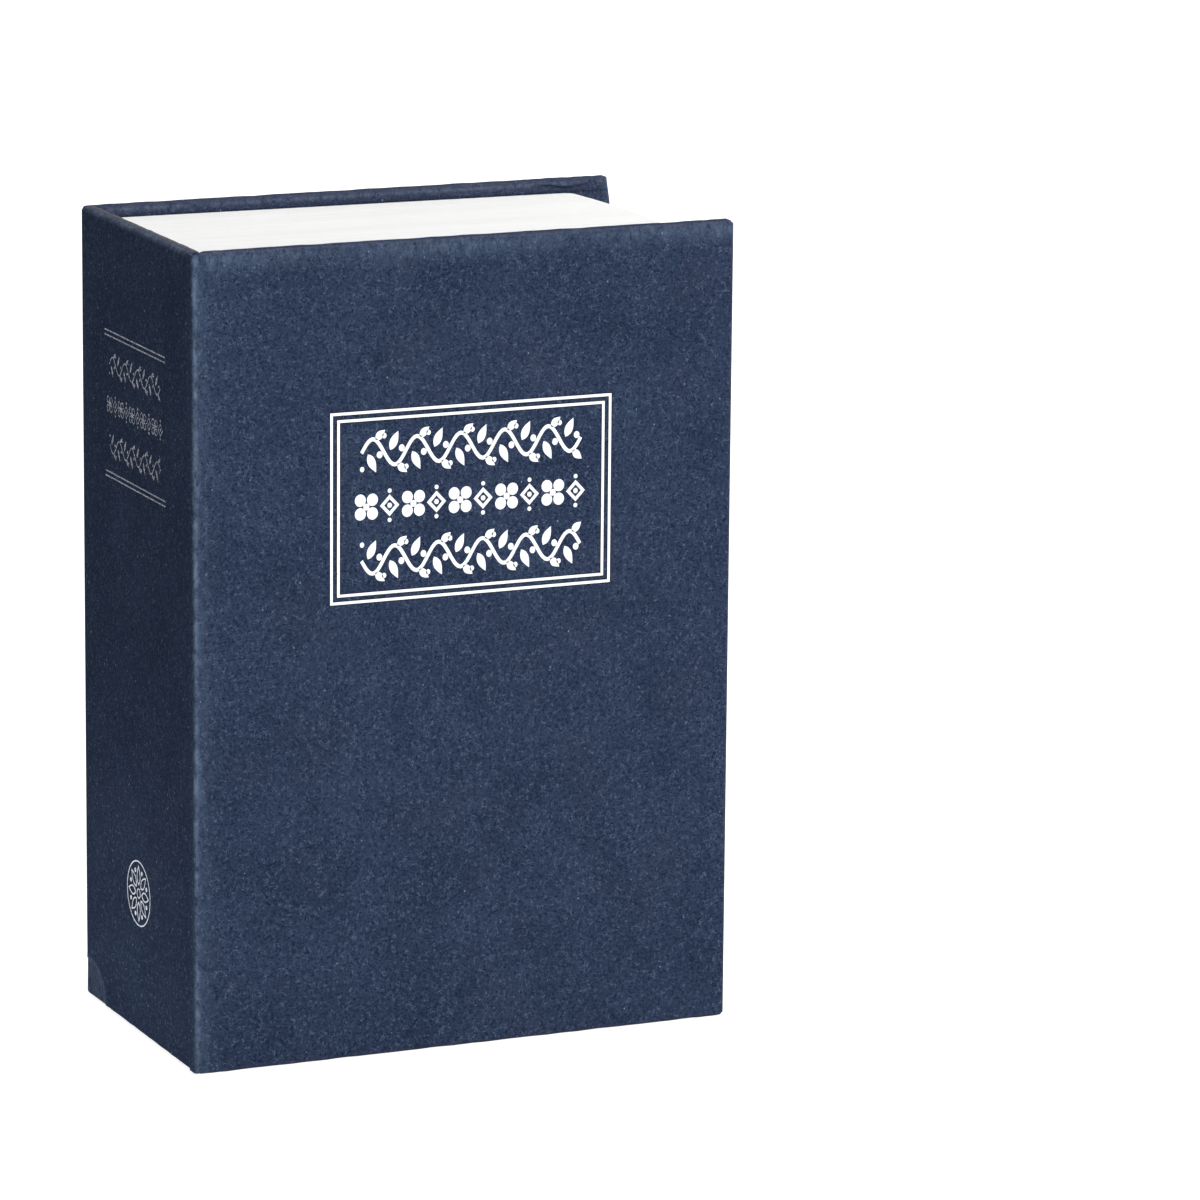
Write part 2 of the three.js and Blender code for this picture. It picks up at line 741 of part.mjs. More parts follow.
for (let i = 0; i < waferCount; i += 1) {
  const [start, end] = waferSlot(i);
  plug = plug.subtract(block(
    [-waferSpace / 2, waferSpace / 2],
    [start - clearance, end + clearance],
    [-plugHeadRadius, plugHeadRadius],
  ));
  piece(`wafer_${i + 1}`, block(
    [-waferWidth / 2, waferWidth / 2],
    [start, end],
    [-waferLength / 2, waferLength / 2],
  ).subtract(block(
    [-keywayThickness / 2 - clearance, keywayThickness / 2 + clearance],
    [start - overrun, end + overrun],
    [-keywayWidth / 2 - clearance, keywayWidth / 2 + clearance],
  )), materials.brass, lock);
}
piece('lock_plug', plug, materials.nickel, lock);

const tailSpace = tailWidth / 2 + clearance;
const tailSpan = [-tailSpace, tailSpace];
const tailCut = block(tailSpan, [stopStart - overrun, camEnd + overrun], tailSpan);
const stopEnd = stopStart + stopThickness;
const notchCut = [stopStart - overrun, stopEnd + overrun];
piece('stop_washer', bar('alongY', lockFlatReach, lockAxis, [stopStart, stopEnd], bigRound)
  .subtract(ringSlice([stopHubRadius, bezelRadius], stopNotch, notchCut))
  .subtract(tailCut), materials.zinc, lock);

const camHalf = camWidth / 2;
const camTipRadius = camHalf / 2;
piece('cam', prism('alongY', roundedOutline([
  [-camHalf, -camHalf, camTipRadius],
  [camReach, -camHalf, camTipRadius],
  [camReach, camHalf, camTipRadius],
  [-camHalf, camHalf, camTipRadius],
]), [camStart, camEnd]).subtract(tailCut), materials.zinc, lock);

const screwHeadStart = camEnd + glueLine;
const screwHeadEnd = screwHeadStart + camScrewHeadHeight;
const camScrewSlot = block(
  [-camScrewHeadRadius, camScrewHeadRadius],
  [screwHeadEnd - screwSlotDepth, screwHeadEnd + overrun],
  [-screwSlotWidth / 2, screwSlotWidth / 2],
);
piece('cam_screw', turned([
  [0, tailEnd - camScrewLength],
  [camScrewShankRadius, tailEnd - camScrewLength],
  [camScrewShankRadius, screwHeadStart],
  [camScrewHeadRadius, screwHeadStart],
  [camScrewHeadRadius, screwHeadEnd - screwSlotDepth],
  [camScrewHeadRadius - screwSlotDepth, screwHeadEnd],
  [0, screwHeadEnd],
]).subtract(camScrewSlot), materials.zinc, lock);

// Keys, flat in their own frame: the head's end at zero, the blade towards -X, the back face at zero
const bladeTip = -headLength - bladeLength;
const bladeHigh = headThickness / 2 + bladeThickness / 2;
const bladeLow = headThickness / 2 - bladeThickness / 2;
const bladeInHead = -headLength + bladeRoot;

// Shares of the blade's length from its shoulder and of its half width, along each edge
const upperCutShares = [
  [0, 1], [0.22, 1], [0.3, 0.62], [0.36, 0.62], [0.42, 0.84], [0.48, 0.84], [0.54, 0.55], [0.62, 0.55],
  [0.68, 0.8], [0.74, 0.8], [0.8, 0.66], [0.88, 0.66], [1, 0.2],
];
const lowerCutShares = [
  [0, 1], [0.26, 1], [0.33, 0.74], [0.4, 0.74], [0.46, 0.6], [0.54, 0.6], [0.6, 0.82], [0.66, 0.82],
  [0.72, 0.64], [0.84, 0.64], [0.9, 0.72], [1, 0.2],
];
const edge = (shares, side) => shares.map(([along, across]) => [
  -headLength - along * bladeLength,
  side * across * bladeWidth / 2,
]);
const bladeShape = outline([
  [bladeInHead, -bladeWidth / 2],
  ...edge(lowerCutShares, -1),
  ...edge(upperCutShares, 1).reverse(),
  [bladeInHead, bladeWidth / 2],
].reverse());
const keyBlade = prism('alongZ', bladeShape, [bladeLow, bladeHigh]);

const slotEnd = -slotRim - slotWidth;
const keyHead = prism('alongZ', roundedOutline([
  [-headLength, -headNeckWidth / 2, headCornerRadius],
  [0, -headEndWidth / 2, headCornerRadius],
  [0, headEndWidth / 2, headCornerRadius],
  [-headLength, headNeckWidth / 2, headCornerRadius],
]), [0, headThickness])
  .subtract(block(
    [slotEnd, -slotRim],
    [-slotLength / 2, slotLength / 2],
    [-overrun, headThickness + overrun],
  ))
  .subtract(block(
    [-headLength - overrun, bladeInHead + pocketGap],
    [-bladeWidth / 2 - pocketGap, bladeWidth / 2 + pocketGap],
    [bladeLow - pocketGap, bladeHigh + pocketGap],
  ));

// Both keys lie on the tail wall of the box, one on the other, with the ring through their heads.
// Ring and keys together are as far from the fore wall as from the hinge wall.
const boxFloor = boxBottom + steelThickness;
const keyReach = secondKeySetback + headLength + bladeLength;
const ringReach = ringRadius + ringWireRadius;
const ringX = (boxLeft + boxRight + keyReach - ringReach) / 2;
const keyY = boxBack - steelThickness - keyBackGap - headEndWidth / 2;
const keyTilt = Math.atan((keyLift + bladeLow - clearance) / (-bladeTip - slotRim));
const keyPlaces = [
  { name: 'key_1', setback: keySetback, lift: keyLift, turn: 0 },
  {
    name: 'key_2',
    setback: secondKeySetback,
    lift: keyLift + headThickness + clearance,
    turn: secondKeyTurn,
  },
];
for (const { name, setback, lift, turn } of keyPlaces) {
  const slotMiddle = -slotRim - slotWidth / 2;
  const key = new THREE.Group();
  key.position.set(ringX - setback + slotMiddle, keyY, boxFloor + lift);
  key.rotation.set(0, -keyTilt, turn, 'YZX');
  const shifted = new THREE.Group();
  shifted.position.set(-slotMiddle, 0, 0);
  key.add(shifted);
  book.add(key);
  piece(`${name}_blade`, keyBlade, materials.nickel, shifted);
  piece(`${name}_head`, keyHead, materials.plastic, shifted);
}

// Split ring: one wire wound twice round, its ends side by side
class RingCurve extends THREE.Curve {
  getPoint(t, target = new THREE.Vector3()) {
    const angle = 2 * Math.PI * ringTurns * t;
    return target.set(
      ringRadius * Math.sin(angle),
      ringPitch * ringTurns * (t - 0.5),
      ringRadius * Math.cos(angle),
    );
  }
}
function wireGeometry(curve, radius, steps, sides) {
  const positions = [];
  const index = [];
  const up = new THREE.Vector3(0, 1, 0);
  for (let i = 0; i <= steps; i += 1) {
    const centre = curve.getPoint(i / steps);
    const outward = new THREE.Vector3(centre.x, 0, centre.z).normalize();
    for (let j = 0; j < sides; j += 1) {
      const angle = 2 * Math.PI * j / sides;
      const place = centre.clone()
        .addScaledVector(outward, radius * Math.cos(angle))
        .addScaledVector(up, radius * Math.sin(angle));
      positions.push(place.x, place.y, place.z);
    }
  }
  for (let i = 0; i < steps; i += 1) {
    for (let j = 0; j < sides; j += 1) {
      const a = i * sides + j;
      const b = i * sides + (j + 1) % sides;
      index.push(a, a + sides, b, b, a + sides, b + sides);
    }
  }
  const last = steps * sides;
  for (let j = 1; j < sides - 1; j += 1) {
    index.push(0, j, j + 1);
    index.push(last, last + j + 1, last + j);
  }
  const geometry = new THREE.BufferGeometry();
  geometry.setAttribute('position', new THREE.Float32BufferAttribute(positions, 3));
  geometry.setIndex(index);
  geometry.computeVertexNormals();
  return geometry;
}
const ringCurve = new RingCurve();
const ringGeometry = wireGeometry(ringCurve, ringWireRadius, ringSteps * ringTurns, ringSides);
const ring = piece('key_ring', ringGeometry, materials.chrome);
ring.position.set(ringX, keyY, boxFloor + clearance + ringWireRadius + ringRadius);

// Least gap between the two turns of the ring, measured between points one turn apart
let leastGap = Infinity;
for (let i = 0; i <= ringSteps; i += 1) {
  const a = ringCurve.getPoint(i / ringSteps / ringTurns);
  for (let j = ringSteps / 2; j <= ringSteps * ringTurns; j += 1) {
    const b = ringCurve.getPoint(j / ringSteps / ringTurns);
    if (j - i > ringSteps / 2) {
      leastGap = Math.min(leastGap, a.distanceTo(b) - 2 * ringWireRadius);
    }
  }
}
console.log(`key ring: least gap between its turns ${leastGap.toFixed(2)} mm`);

export default book;
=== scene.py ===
import json
import math

import bmesh
import bpy
import numpy as np
from mathutils import Matrix, Quaternion, Vector

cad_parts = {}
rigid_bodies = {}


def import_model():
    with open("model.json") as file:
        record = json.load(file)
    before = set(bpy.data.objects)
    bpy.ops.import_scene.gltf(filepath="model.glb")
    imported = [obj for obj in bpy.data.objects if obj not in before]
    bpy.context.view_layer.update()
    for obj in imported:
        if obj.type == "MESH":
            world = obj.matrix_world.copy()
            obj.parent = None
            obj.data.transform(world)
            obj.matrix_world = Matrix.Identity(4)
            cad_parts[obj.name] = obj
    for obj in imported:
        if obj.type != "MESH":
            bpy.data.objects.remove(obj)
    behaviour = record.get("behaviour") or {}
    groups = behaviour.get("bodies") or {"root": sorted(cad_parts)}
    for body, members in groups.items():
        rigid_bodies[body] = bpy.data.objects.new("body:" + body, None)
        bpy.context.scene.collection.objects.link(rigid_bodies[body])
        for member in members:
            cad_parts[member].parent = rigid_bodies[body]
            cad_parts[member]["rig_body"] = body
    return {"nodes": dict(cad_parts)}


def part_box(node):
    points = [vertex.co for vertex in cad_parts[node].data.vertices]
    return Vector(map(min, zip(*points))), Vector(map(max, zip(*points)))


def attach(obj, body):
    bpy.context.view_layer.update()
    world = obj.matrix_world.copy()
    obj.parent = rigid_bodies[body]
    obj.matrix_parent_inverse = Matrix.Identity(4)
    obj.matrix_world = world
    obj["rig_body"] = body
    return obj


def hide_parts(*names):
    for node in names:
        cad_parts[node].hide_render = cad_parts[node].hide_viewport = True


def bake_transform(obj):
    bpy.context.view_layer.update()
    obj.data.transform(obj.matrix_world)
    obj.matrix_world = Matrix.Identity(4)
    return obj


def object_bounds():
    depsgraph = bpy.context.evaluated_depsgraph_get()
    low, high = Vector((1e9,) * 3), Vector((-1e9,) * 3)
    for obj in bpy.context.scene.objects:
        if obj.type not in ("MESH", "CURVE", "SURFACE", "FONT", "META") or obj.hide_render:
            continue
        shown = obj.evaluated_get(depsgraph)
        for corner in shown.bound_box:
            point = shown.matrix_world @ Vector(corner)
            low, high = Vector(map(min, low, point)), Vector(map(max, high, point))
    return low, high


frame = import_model()
cad_low, cad_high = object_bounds()


# Studio: a white table under soft light, seen through a long lens from the book's front left.
# The camera's place and turn come from fitting the corners of the book in the photograph.
def new_object(name, data):
    made = bpy.data.objects.new(name, data)
    bpy.context.scene.collection.objects.link(made)
    return made


camera_place = Vector((-0.54679, -1.33559, 0.41199))
camera_azimuth = math.radians(23.98)
camera_drop = math.radians(12.45)
camera_roll = math.radians(0.54)
lens_length, film_width = 200, 36
look = Vector((
    math.sin(camera_azimuth) * math.cos(camera_drop),
    math.cos(camera_azimuth) * math.cos(camera_drop),
    -math.sin(camera_drop),
))
camera_data = bpy.data.cameras.new("camera")
camera_data.lens = lens_length
camera_data.sensor_width = film_width
camera = new_object("camera", camera_data)
camera.location = camera_place
camera.rotation_mode = "QUATERNION"
camera.rotation_quaternion = look.to_track_quat("-Z", "Y") @ Quaternion((0, 0, 1), camera_roll)
bpy.context.scene.camera = camera
bpy.context.scene.view_settings.view_transform = "Standard"

book_middle = (cad_low + cad_high) / 2
spine_foot = Vector((cad_low.x, 0, -0.005))


def softbox(name, place, size, power, target=book_middle, spread=180):
    """A square lamp that points at the middle of the book or at another target."""
    lamp = bpy.data.lights.new(name, "AREA")
    lamp.shape = "SQUARE"
    lamp.size = size
    lamp.energy = power
    lamp.spread = math.radians(spread)
    box = new_object(name, lamp)
    box.location = place
    box.rotation_mode = "QUATERNION"
    box.rotation_quaternion = (target - Vector(place)).to_track_quat("-Z", "Y")


softbox("key_light", (0.75, -2.1, 1.35), size=1.1, power=48)
softbox("top_light", (0.1, 0.3, 1.9), size=1.2, power=15)
softbox("fill_light", (1.8, 0.5, 0.7), size=0.9, power=10)
softbox("spine_bounce", (-0.26, 0.03, 0.03), size=0.06, power=0.009, target=spine_foot, spread=48)


def set_inputs(tree, made, inputs):
    """Sets a node's inputs to values, or links them to sockets."""
    for name, value in inputs.items():
        if isinstance(value, bpy.types.NodeSocket):
            tree.links.new(value, made.inputs[name])
        else:
            made.inputs[name].default_value = value


def add_node(tree, kind, inputs=(), **settings):
    """A node with its settings and its inputs."""
    made = tree.nodes.new(kind)
    for name, value in settings.items():
        setattr(made, name, value)
    set_inputs(tree, made, dict(inputs))
    return made


def computed(tree, operation, first, second=0.0):
    return add_node(tree, "ShaderNodeMath", {0: first, 1: second}, operation=operation).outputs[0]


def background_rays(tree):
    """One for rays that see the background, from the camera or by a mirror or through glass."""
    path = add_node(tree, "ShaderNodeLightPath")
    seen = path.outputs["Is Camera Ray"]
    for other in ("Is Glossy Ray", "Is Transmission Ray"):
        seen = computed(tree, "MAXIMUM", seen, path.outputs[other])
    return seen


white = (1, 1, 1, 1)
ambient, full = 0.22, 1.0
world = bpy.data.worlds.new("studio")
world.use_nodes = True
bpy.context.scene.world = world
sky = world.node_tree
sky_inputs = {"Value": background_rays(sky), "To Min": ambient, "To Max": full}
sky_level = add_node(sky, "ShaderNodeMapRange", sky_inputs).outputs[0]
set_inputs(sky, sky.nodes["Background"], {"Color": white, "Strength": sky_level})


def new_material(name):
    material = bpy.data.materials.new(name)
    material.use_nodes = True
    return material, material.node_tree, material.node_tree.nodes["Principled BSDF"]


table_half = 6
table_shade, table_roughness, table_lift = 0.55, 0.9, 0.86
table_material, tree, surface = new_material("white_table")
set_inputs(tree, surface, {
    "Base Color": (table_shade, table_shade, table_shade, 1),
    "Roughness": table_roughness,
    "Emission Color": white,
    "Emission Strength": computed(tree, "MULTIPLY", background_rays(tree), table_lift),
})
table_mesh = bpy.data.meshes.new("table")
table_mesh.from_pydata([(x * table_half, y * table_half, 0) for x, y in ((-1, -1), (1, -1), (1, 1), (-1, 1))],
                       [], [(0, 1, 2, 3)])
table_mesh.materials.append(table_material)
new_object("table", table_mesh)


# Case boards: three pieces of grey-brown binder's board, pressed from waste paper and cut to size.
# The cloth is glued round them, and their bare faces show where it is cut away inside.
mm = 0.001
weld_gap = 0.002 * mm
board_dark, board_light, board_fleck = (0.24, 0.2, 0.145), (0.4, 0.345, 0.26), (0.12, 0.1, 0.08)


def object_coordinates(tree, scale=(1, 1, 1)):
    place = add_node(tree, "ShaderNodeTexCoord")
    return add_node(tree, "ShaderNodeMapping", {"Vector": place.outputs["Object"], "Scale": scale}).outputs[0]


def noise(tree, scale, stretch=(1, 1, 1), detail=2.0, roughness=0.5):
    """Noise whose spots are about one over the scale wide, in metres."""
    vector = object_coordinates(tree, stretch)
    inputs = {"Vector": vector, "Scale": scale, "Detail": detail, "Roughness": roughness}
    return add_node(tree, "ShaderNodeTexNoise", inputs).outputs["Fac"]


def band(tree, value, low, high, start=0.0, end=1.0):
    """The value stretched so that low becomes start and high becomes end."""
    inputs = {"Value": value, "From Min": low, "From Max": high, "To Min": start, "To Max": end}
    return add_node(tree, "ShaderNodeMapRange", inputs).outputs[0]


def blended(tree, share, first, second, mode="MIX"):
    """Two colours mixed by a share. Each is a socket or a colour."""
    inputs = {"Factor": share}
    mix = add_node(tree, "ShaderNodeMix", inputs, data_type="RGBA", blend_type=mode)
    for socket, colour in ((mix.inputs[6], first), (mix.inputs[7], second)):
        if isinstance(colour, bpy.types.NodeSocket):
            tree.links.new(colour, socket)
        else:
            socket.default_value = (*colour, 1)
    return mix.outputs[2]


def relief(tree, surface, height, depth, strength=1.0):
    """Bump on a surface, from a height between zero and one that stands for a depth in metres."""
    bump = add_node(tree, "ShaderNodeBump", {"Height": height, "Distance": depth, "Strength": strength})
    tree.links.new(bump.outputs[0], surface.inputs["Normal"])


def board_finish():
    material, tree, surface = new_material("binders_board")
    pulp = noise(tree, 900, detail=4.0, roughness=0.7)
    colour = blended(tree, band(tree, pulp, 0.35, 0.65), board_dark, board_light)
    flecks = noise(tree, 2600, detail=1.0)
    colour = blended(tree, band(tree, flecks, 0.68, 0.74), colour, board_fleck)
    set_inputs(tree, surface, {"Base Color": colour, "Roughness": 0.92})
    relief(tree, surface, pulp, 0.08 * mm)
    return material


def reshaped(mesh, change):
    """Lets a function change a mesh as a bmesh."""
    shape = bmesh.new()
    shape.from_mesh(mesh)
    change(shape)
    shape.to_mesh(mesh)
    shape.free()


def flat_faces_whole(shape):
    bmesh.ops.remove_doubles(shape, verts=shape.verts, dist=weld_gap)
    bmesh.ops.dissolve_limit(shape, angle_limit=math.radians(0.5), verts=shape.verts, edges=shape.edges)


def fitted(piece, body, slot, *nodes):
    """Puts a finished piece on its body, in place of the nodes that it shows."""
    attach(piece, body)
    if nodes:
        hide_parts(*nodes)
    return piece


def dress(node, material):
    """Gives a CAD node its material."""
    piece = frame["nodes"][node]
    piece.data.materials.clear()
    piece.data.materials.append(material)
    return piece


def merged_copy(node, name, material, slot):
    """A copy of a CAD node's mesh with its vertices merged and its flat faces whole."""
    mesh = frame["nodes"][node].data.copy()
    mesh.name = name
    mesh.materials.clear()
    mesh.materials.append(material)
    reshaped(mesh, flat_faces_whole)
    return fitted(new_object(name, mesh), frame["nodes"][node]["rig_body"], slot, node)


def ramp(values, start, end):
    """Zero at a start, one at an end, and level beyond both."""
    return np.clip((values - start) / (end - start), 0, 1)


drawn_across, drawn_down, drawn_most = 7 * mm, 6 * mm, 0.9 * mm


def drawn_in(points):
    """The back board's fore corner at the head is drawn in a little by its folded cloth."""
    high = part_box("spine_back_cloth")[1]
    near = ramp(points[:, 0], high.x - drawn_across, high.x)
    points[:, 0] -= near * ramp(points[:, 2], high.z - drawn_down, high.z) * drawn_most


binders_board = board_finish()
for node in ("front_board", "spine_board"):
    dress(node, binders_board)
back_board = merged_copy("back_board", "back_board_worn", binders_board, "board")
corners = np.array([v.co for v in back_board.data.vertices])
drawn_in(corners)
back_board.data.vertices.foreach_set("co", corners.ravel())


# Cover cloth: navy book cloth, a paper-like linen, glued round the boards and turned in over their
# edges. One sheet covers the front board, another the spine and the back board, and a fold joins them.
front_low, front_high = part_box("front_cover_cloth")
case_low, case_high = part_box("spine_back_cloth")
case_wall = front_high.y - front_low.y
cloth_thickness = 0.4 * mm
edge_round = 0.8 * mm
edge_steps = 4
corner_round = 1.0 * mm
mitre_set = front_low.x - case_low.x
turn_in = 14 * mm
joint_lining = 8 * mm
shear_reach = 8 * mm
least_gap = 0.06 * mm
page_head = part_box("page_block")[1].z


def grid_lines(length, zones):
    """Places from zero to a length: close together over both rounded edges, and by steps in zones."""
    arc = [edge_round * (1 - math.tan(math.pi / 4 * i / edge_steps)) for i in range(edge_steps + 1)]
    places = arc + [length - place for place in arc]
    for start, end, step in zones:
        count = max(1, round((end - start) / step))
        places += [start + (end - start) * i / count for i in range(count + 1)]
    kept = []
    for place in sorted(places):
        if not kept or place - kept[-1] > least_gap:
            kept.append(place)
    return kept


def block_skin(lines, window):
    """A welded grid over the six sides of a block, without the cells of its near side in a window."""
    points, faces, numbers = [], [], {}

    def number(*place):
        if place not in numbers:
            numbers[place] = len(points)
            points.append([lines[axis][i] for axis, i in enumerate(place)])
        return numbers[place]

    for axis in range(3):
        u, v = (axis + 1) % 3, (axis + 2) % 3
        for side in (0, len(lines[axis]) - 1):
            for i in range(len(lines[u]) - 1):
                for j in range(len(lines[v]) - 1):
                    corners = []
                    for du, dv in ((0, 0), (1, 0), (1, 1), (0, 1)):
                        place = [0, 0, 0]
                        place[axis], place[u], place[v] = side, i + du, j + dv
                        corners.append(tuple(place))
                    middle = [sum(lines[k][corner[k]] for corner in corners) / 4 for k in (0, 2)]
                    if axis == 1 and side == 0 and window(*middle):
                        continue
                    face = [number(*corner) for corner in corners]
                    faces.append(face if side else face[::-1])
    return np.array(points), faces


def rounded_block(points, size):
    """Points on a block's sides moved onto its rounded edges, and how far each is round an edge."""
    core = np.clip(points, edge_round, np.array(size) - edge_round)
    out = points - core
    reach = np.maximum(np.linalg.norm(out, axis=1, keepdims=True), 1e-9)
    out /= reach
    spread = np.sort(np.abs(out), axis=1)
    return core + out * edge_round, 2 * spread[:, 1] * spread[:, 2]


def round_corner(points, axes, centre, sides):
    """Squares round a centre become circles, in the quarter that the two sides point to."""
    a, b = axes
    da = (points[:, a] - centre[0]) * sides[0]
    db = (points[:, b] - centre[1]) * sides[1]
    inside = (da > 0) & (db > 0)
    share = np.maximum(da, db) / np.maximum(np.hypot(da, db), 1e-9)
    points[inside, a] = centre[0] + (sides[0] * da * share)[inside]
    points[inside, b] = centre[1] + (sides[1] * db * share)[inside]


def round_fore_corners(points, sheet_high, head_round):
    for radius, height, side in ((corner_round, corner_round, -1),
                                 (head_round, sheet_high.z - head_round, 1)):
        round_corner(points, (0, 2), (sheet_high.x - radius, height), (1, side))


def renumbered(mesh, finishes, slots):
    """Gives a mesh the slots, with each face on its own finish, or on the first where it had none."""
    numbers = [slots.index(m if m else finishes[0]) for m in mesh.materials] if finishes else []
    chosen = [numbers[face.material_index] if numbers else 0 for face in mesh.polygons]
    mesh.materials.clear()
    for finish in slots:
        mesh.materials.append(finish)
    mesh.polygons.foreach_set("material_index", chosen)


def new_piece(name, points, faces, material=None):
    mesh = bpy.data.meshes.new(name)
    mesh.from_pydata([tuple(p) for p in points], [], [tuple(f) for f in faces])
    if material:
        mesh.materials.append(material)
    return new_object(name, mesh)


def settled(piece):
    """Makes what a piece's modifiers show its plain mesh, without empty material slots."""
    bpy.context.view_layer.update()
    shown = piece.evaluated_get(bpy.context.evaluated_depsgraph_get())
    mesh = bpy.data.meshes.new_from_object(shown)
    piece.modifiers.clear()
    piece.data = mesh
    finishes = [m for m in mesh.materials if m]
    if len(finishes) < len(mesh.materials):
        renumbered(mesh, finishes, finishes)
    return piece


def smoothed(piece, degrees):
    """Smooth shading, with the edges left sharp where faces meet at more than an angle."""
    piece.data.shade_smooth()
    piece.data.set_sharp_from_angle(angle=math.radians(degrees))
    return piece


def cloth_sheet(name, points, faces, mark_shares, material):
    """A sheet of the cover cloth, its thickness inward, with shares of each kind of wear, painted highlight
    and painted shade.
    """
    piece = new_piece(name, points, faces, material)
    for kind, shares in mark_shares.items():
        mark = piece.data.attributes.new(kind, "FLOAT", "POINT")
        mark.data.foreach_set("value", np.clip(shares, 0, 1).astype(np.float32))
    wall = piece.modifiers.new("thickness", "SOLIDIFY")
    wall.thickness = cloth_thickness
    wall.offset = -1
    return smoothed(settled(piece), 60)


cloth_dark = (0.0115, 0.0195, 0.044)
cloth_light = (0.054, 0.081, 0.15)
cloth_purple = (0.051, 0.054, 0.1)
fibre_light = (0.115, 0.155, 0.245)
speck_light = (0.3, 0.36, 0.46)
pale_wear_and_highlight = (0.145, 0.2, 0.3)
grime = (0.062, 0.058, 0.078)
bared_board = (0.19, 0.16, 0.13)


def specks(tree, scale, stretch, least, widest, rarity, common):
    """One inside small round specks: a few of the cells of a pattern, each with its own size."""
    cells = {"Vector": object_coordinates(tree, stretch), "Scale": scale}
    voronoi = add_node(tree, "ShaderNodeTexVoronoi", cells)
    chosen = add_node(tree, "ShaderNodeSeparateColor", {"Color": voronoi.outputs["Color"]})
    wide = band(tree, chosen.outputs[1], 0, 1, least, widest)
    near = computed(tree, "LESS_THAN", voronoi.outputs["Distance"], wide)
    return computed(tree, "MULTIPLY", near, band(tree, chosen.outputs[0], rarity, common))


def cloth_finish():
    """Fine mottle with painted shade in its pits, short pale fibres along the cloth, a few bright specks,
    wear along the edges, and painted highlights and painted shade where the sheet's shares mark them.
    """
    material, tree, surface = new_material("navy_book_cloth")
    mottle = noise(tree, 1650, detail=4.0, roughness=0.8)
    clouds = noise(tree, 60, detail=3.0)
    level = computed(tree, "ADD", band(tree, mottle, 0.3, 0.74), band(tree, clouds, 0.3, 0.7, -0.1, 0.1))
    colour = blended(tree, level, cloth_dark, cloth_light)
    blotch = band(tree, noise(tree, 75, detail=3.0), 0.54, 0.74, 0, 0.24)
    colour = blended(tree, blotch, colour, cloth_purple)
    lying = noise(tree, 1, (430, 430, 3100), detail=3.0, roughness=0.6)
    standing = noise(tree, 1, (2900, 2900, 450), detail=3.0, roughness=0.6)
    fibres = computed(tree, "MAXIMUM", band(tree, lying, 0.6, 0.75), band(tree, standing, 0.62, 0.78))
    fibres = computed(tree, "MULTIPLY", fibres, band(tree, clouds, 0.35, 0.6, 0.3, 0.85))
    colour = blended(tree, fibres, colour, fibre_light)
    curl_lines = noise(tree, 1050, detail=1.5, roughness=0.6)
    from_line = computed(tree, "ABSOLUTE", computed(tree, "SUBTRACT", curl_lines, 0.5))
    curls = computed(tree, "MULTIPLY", band(tree, from_line, 0.012, 0.035, 1, 0),
                     band(tree, noise(tree, 820), 0.5, 0.58))
    colour = blended(tree, computed(tree, "MULTIPLY", curls, 0.75), colour, fibre_light)
    # Painted shade: the small pits of the weave are darkened
    pit_shade = computed(tree, "MULTIPLY", band(tree, noise(tree, 2100, detail=1.0), 0.58, 0.68), 0.85)
    colour = blended(tree, pit_shade, colour, cloth_dark)
    colour = blended(tree, specks(tree, 700.0, (1, 1, 0.7), 0.04, 0.15, 0.86, 1.0), colour, speck_light)
    patchy = band(tree, noise(tree, 900, (1, 1, 0.5), detail=4.0, roughness=0.75), 0.34, 0.64)
    # The shares paint dirt and wear, and also painted highlights (with the wear) and painted shade (shadowed)
    for name, shade in (("rubbed", grime), ("wear_and_highlight", pale_wear_and_highlight), ("bared", bared_board),
                        ("shadowed", cloth_dark)):
        share = add_node(tree, "ShaderNodeAttribute", attribute_name=name).outputs["Fac"]
        colour = blended(tree, computed(tree, "MULTIPLY", share, patchy), colour, shade)
    set_inputs(tree, surface, {"Base Color": colour, "Roughness": 0.9, "Specular IOR Level": 0.02})
    height = computed(tree, "ADD", mottle, computed(tree, "MULTIPLY", fibres, 0.6))
    relief(tree, surface, height, 0.14 * mm, 0.7)
    return material


book_cloth = cloth_finish()

# The grid is fine where the cloth turns, is creased or is dented, and wide on the flat faces
wide_step, edge_step, crease_step, dent_step, rim_step = 2.5 * mm, 0.9 * mm, 0.5 * mm, 0.45 * mm, 0.28 * mm
round_step = 0.3 * mm
tail_zone, head_zone, rim_zone = 11 * mm, case_high.z - 10 * mm, case_high.z - 3.6 * mm
height_lines = grid_lines(case_high.z, [
    (0, tail_zone, crease_step), (tail_zone, head_zone, wide_step),
    (head_zone, rim_zone, edge_step), (rim_zone, case_high.z, rim_step),
])
wall_lines = grid_lines(case_wall, [(edge_round, case_wall - edge_round, round_step)])


def waves(along, *terms):
    """A sum of sine waves along a line, each of an amount, a turn per millimetre and a start."""
    return sum(amount * np.sin(along / mm * pace + start) for amount, pace, start in terms)


def bell(values, middle, half):
    """One at a middle, and fading on both sides of it."""
    return np.exp(-((values - middle) / half) ** 2)


def toward_middle(points):
    return np.sign(case_high.z / 2 - points[:, 2])


def from_middle(points):
    """How far points are from the middle of the height: one at head and tail."""
    return np.abs(points[:, 2] / case_high.z - 0.5) * 2


end_sink = 0.09
end_waves = ((0.03, 0.31, 0), (0.03, 0.83, 1), (0.03, 1.9, 2))


def uneven_ends(points):
    """The cloth over the boards' ends at head and tail is not quite straight."""
    near = ramp(from_middle(points), 0.97, 1)
    sink = end_sink + waves(points[:, 0] + 2 * points[:, 1], *end_waves)
    points[:, 2] += toward_middle(points) * near * sink * mm


mitre_sink, mitre_sink_reach = 0.15, 2.2 * mm


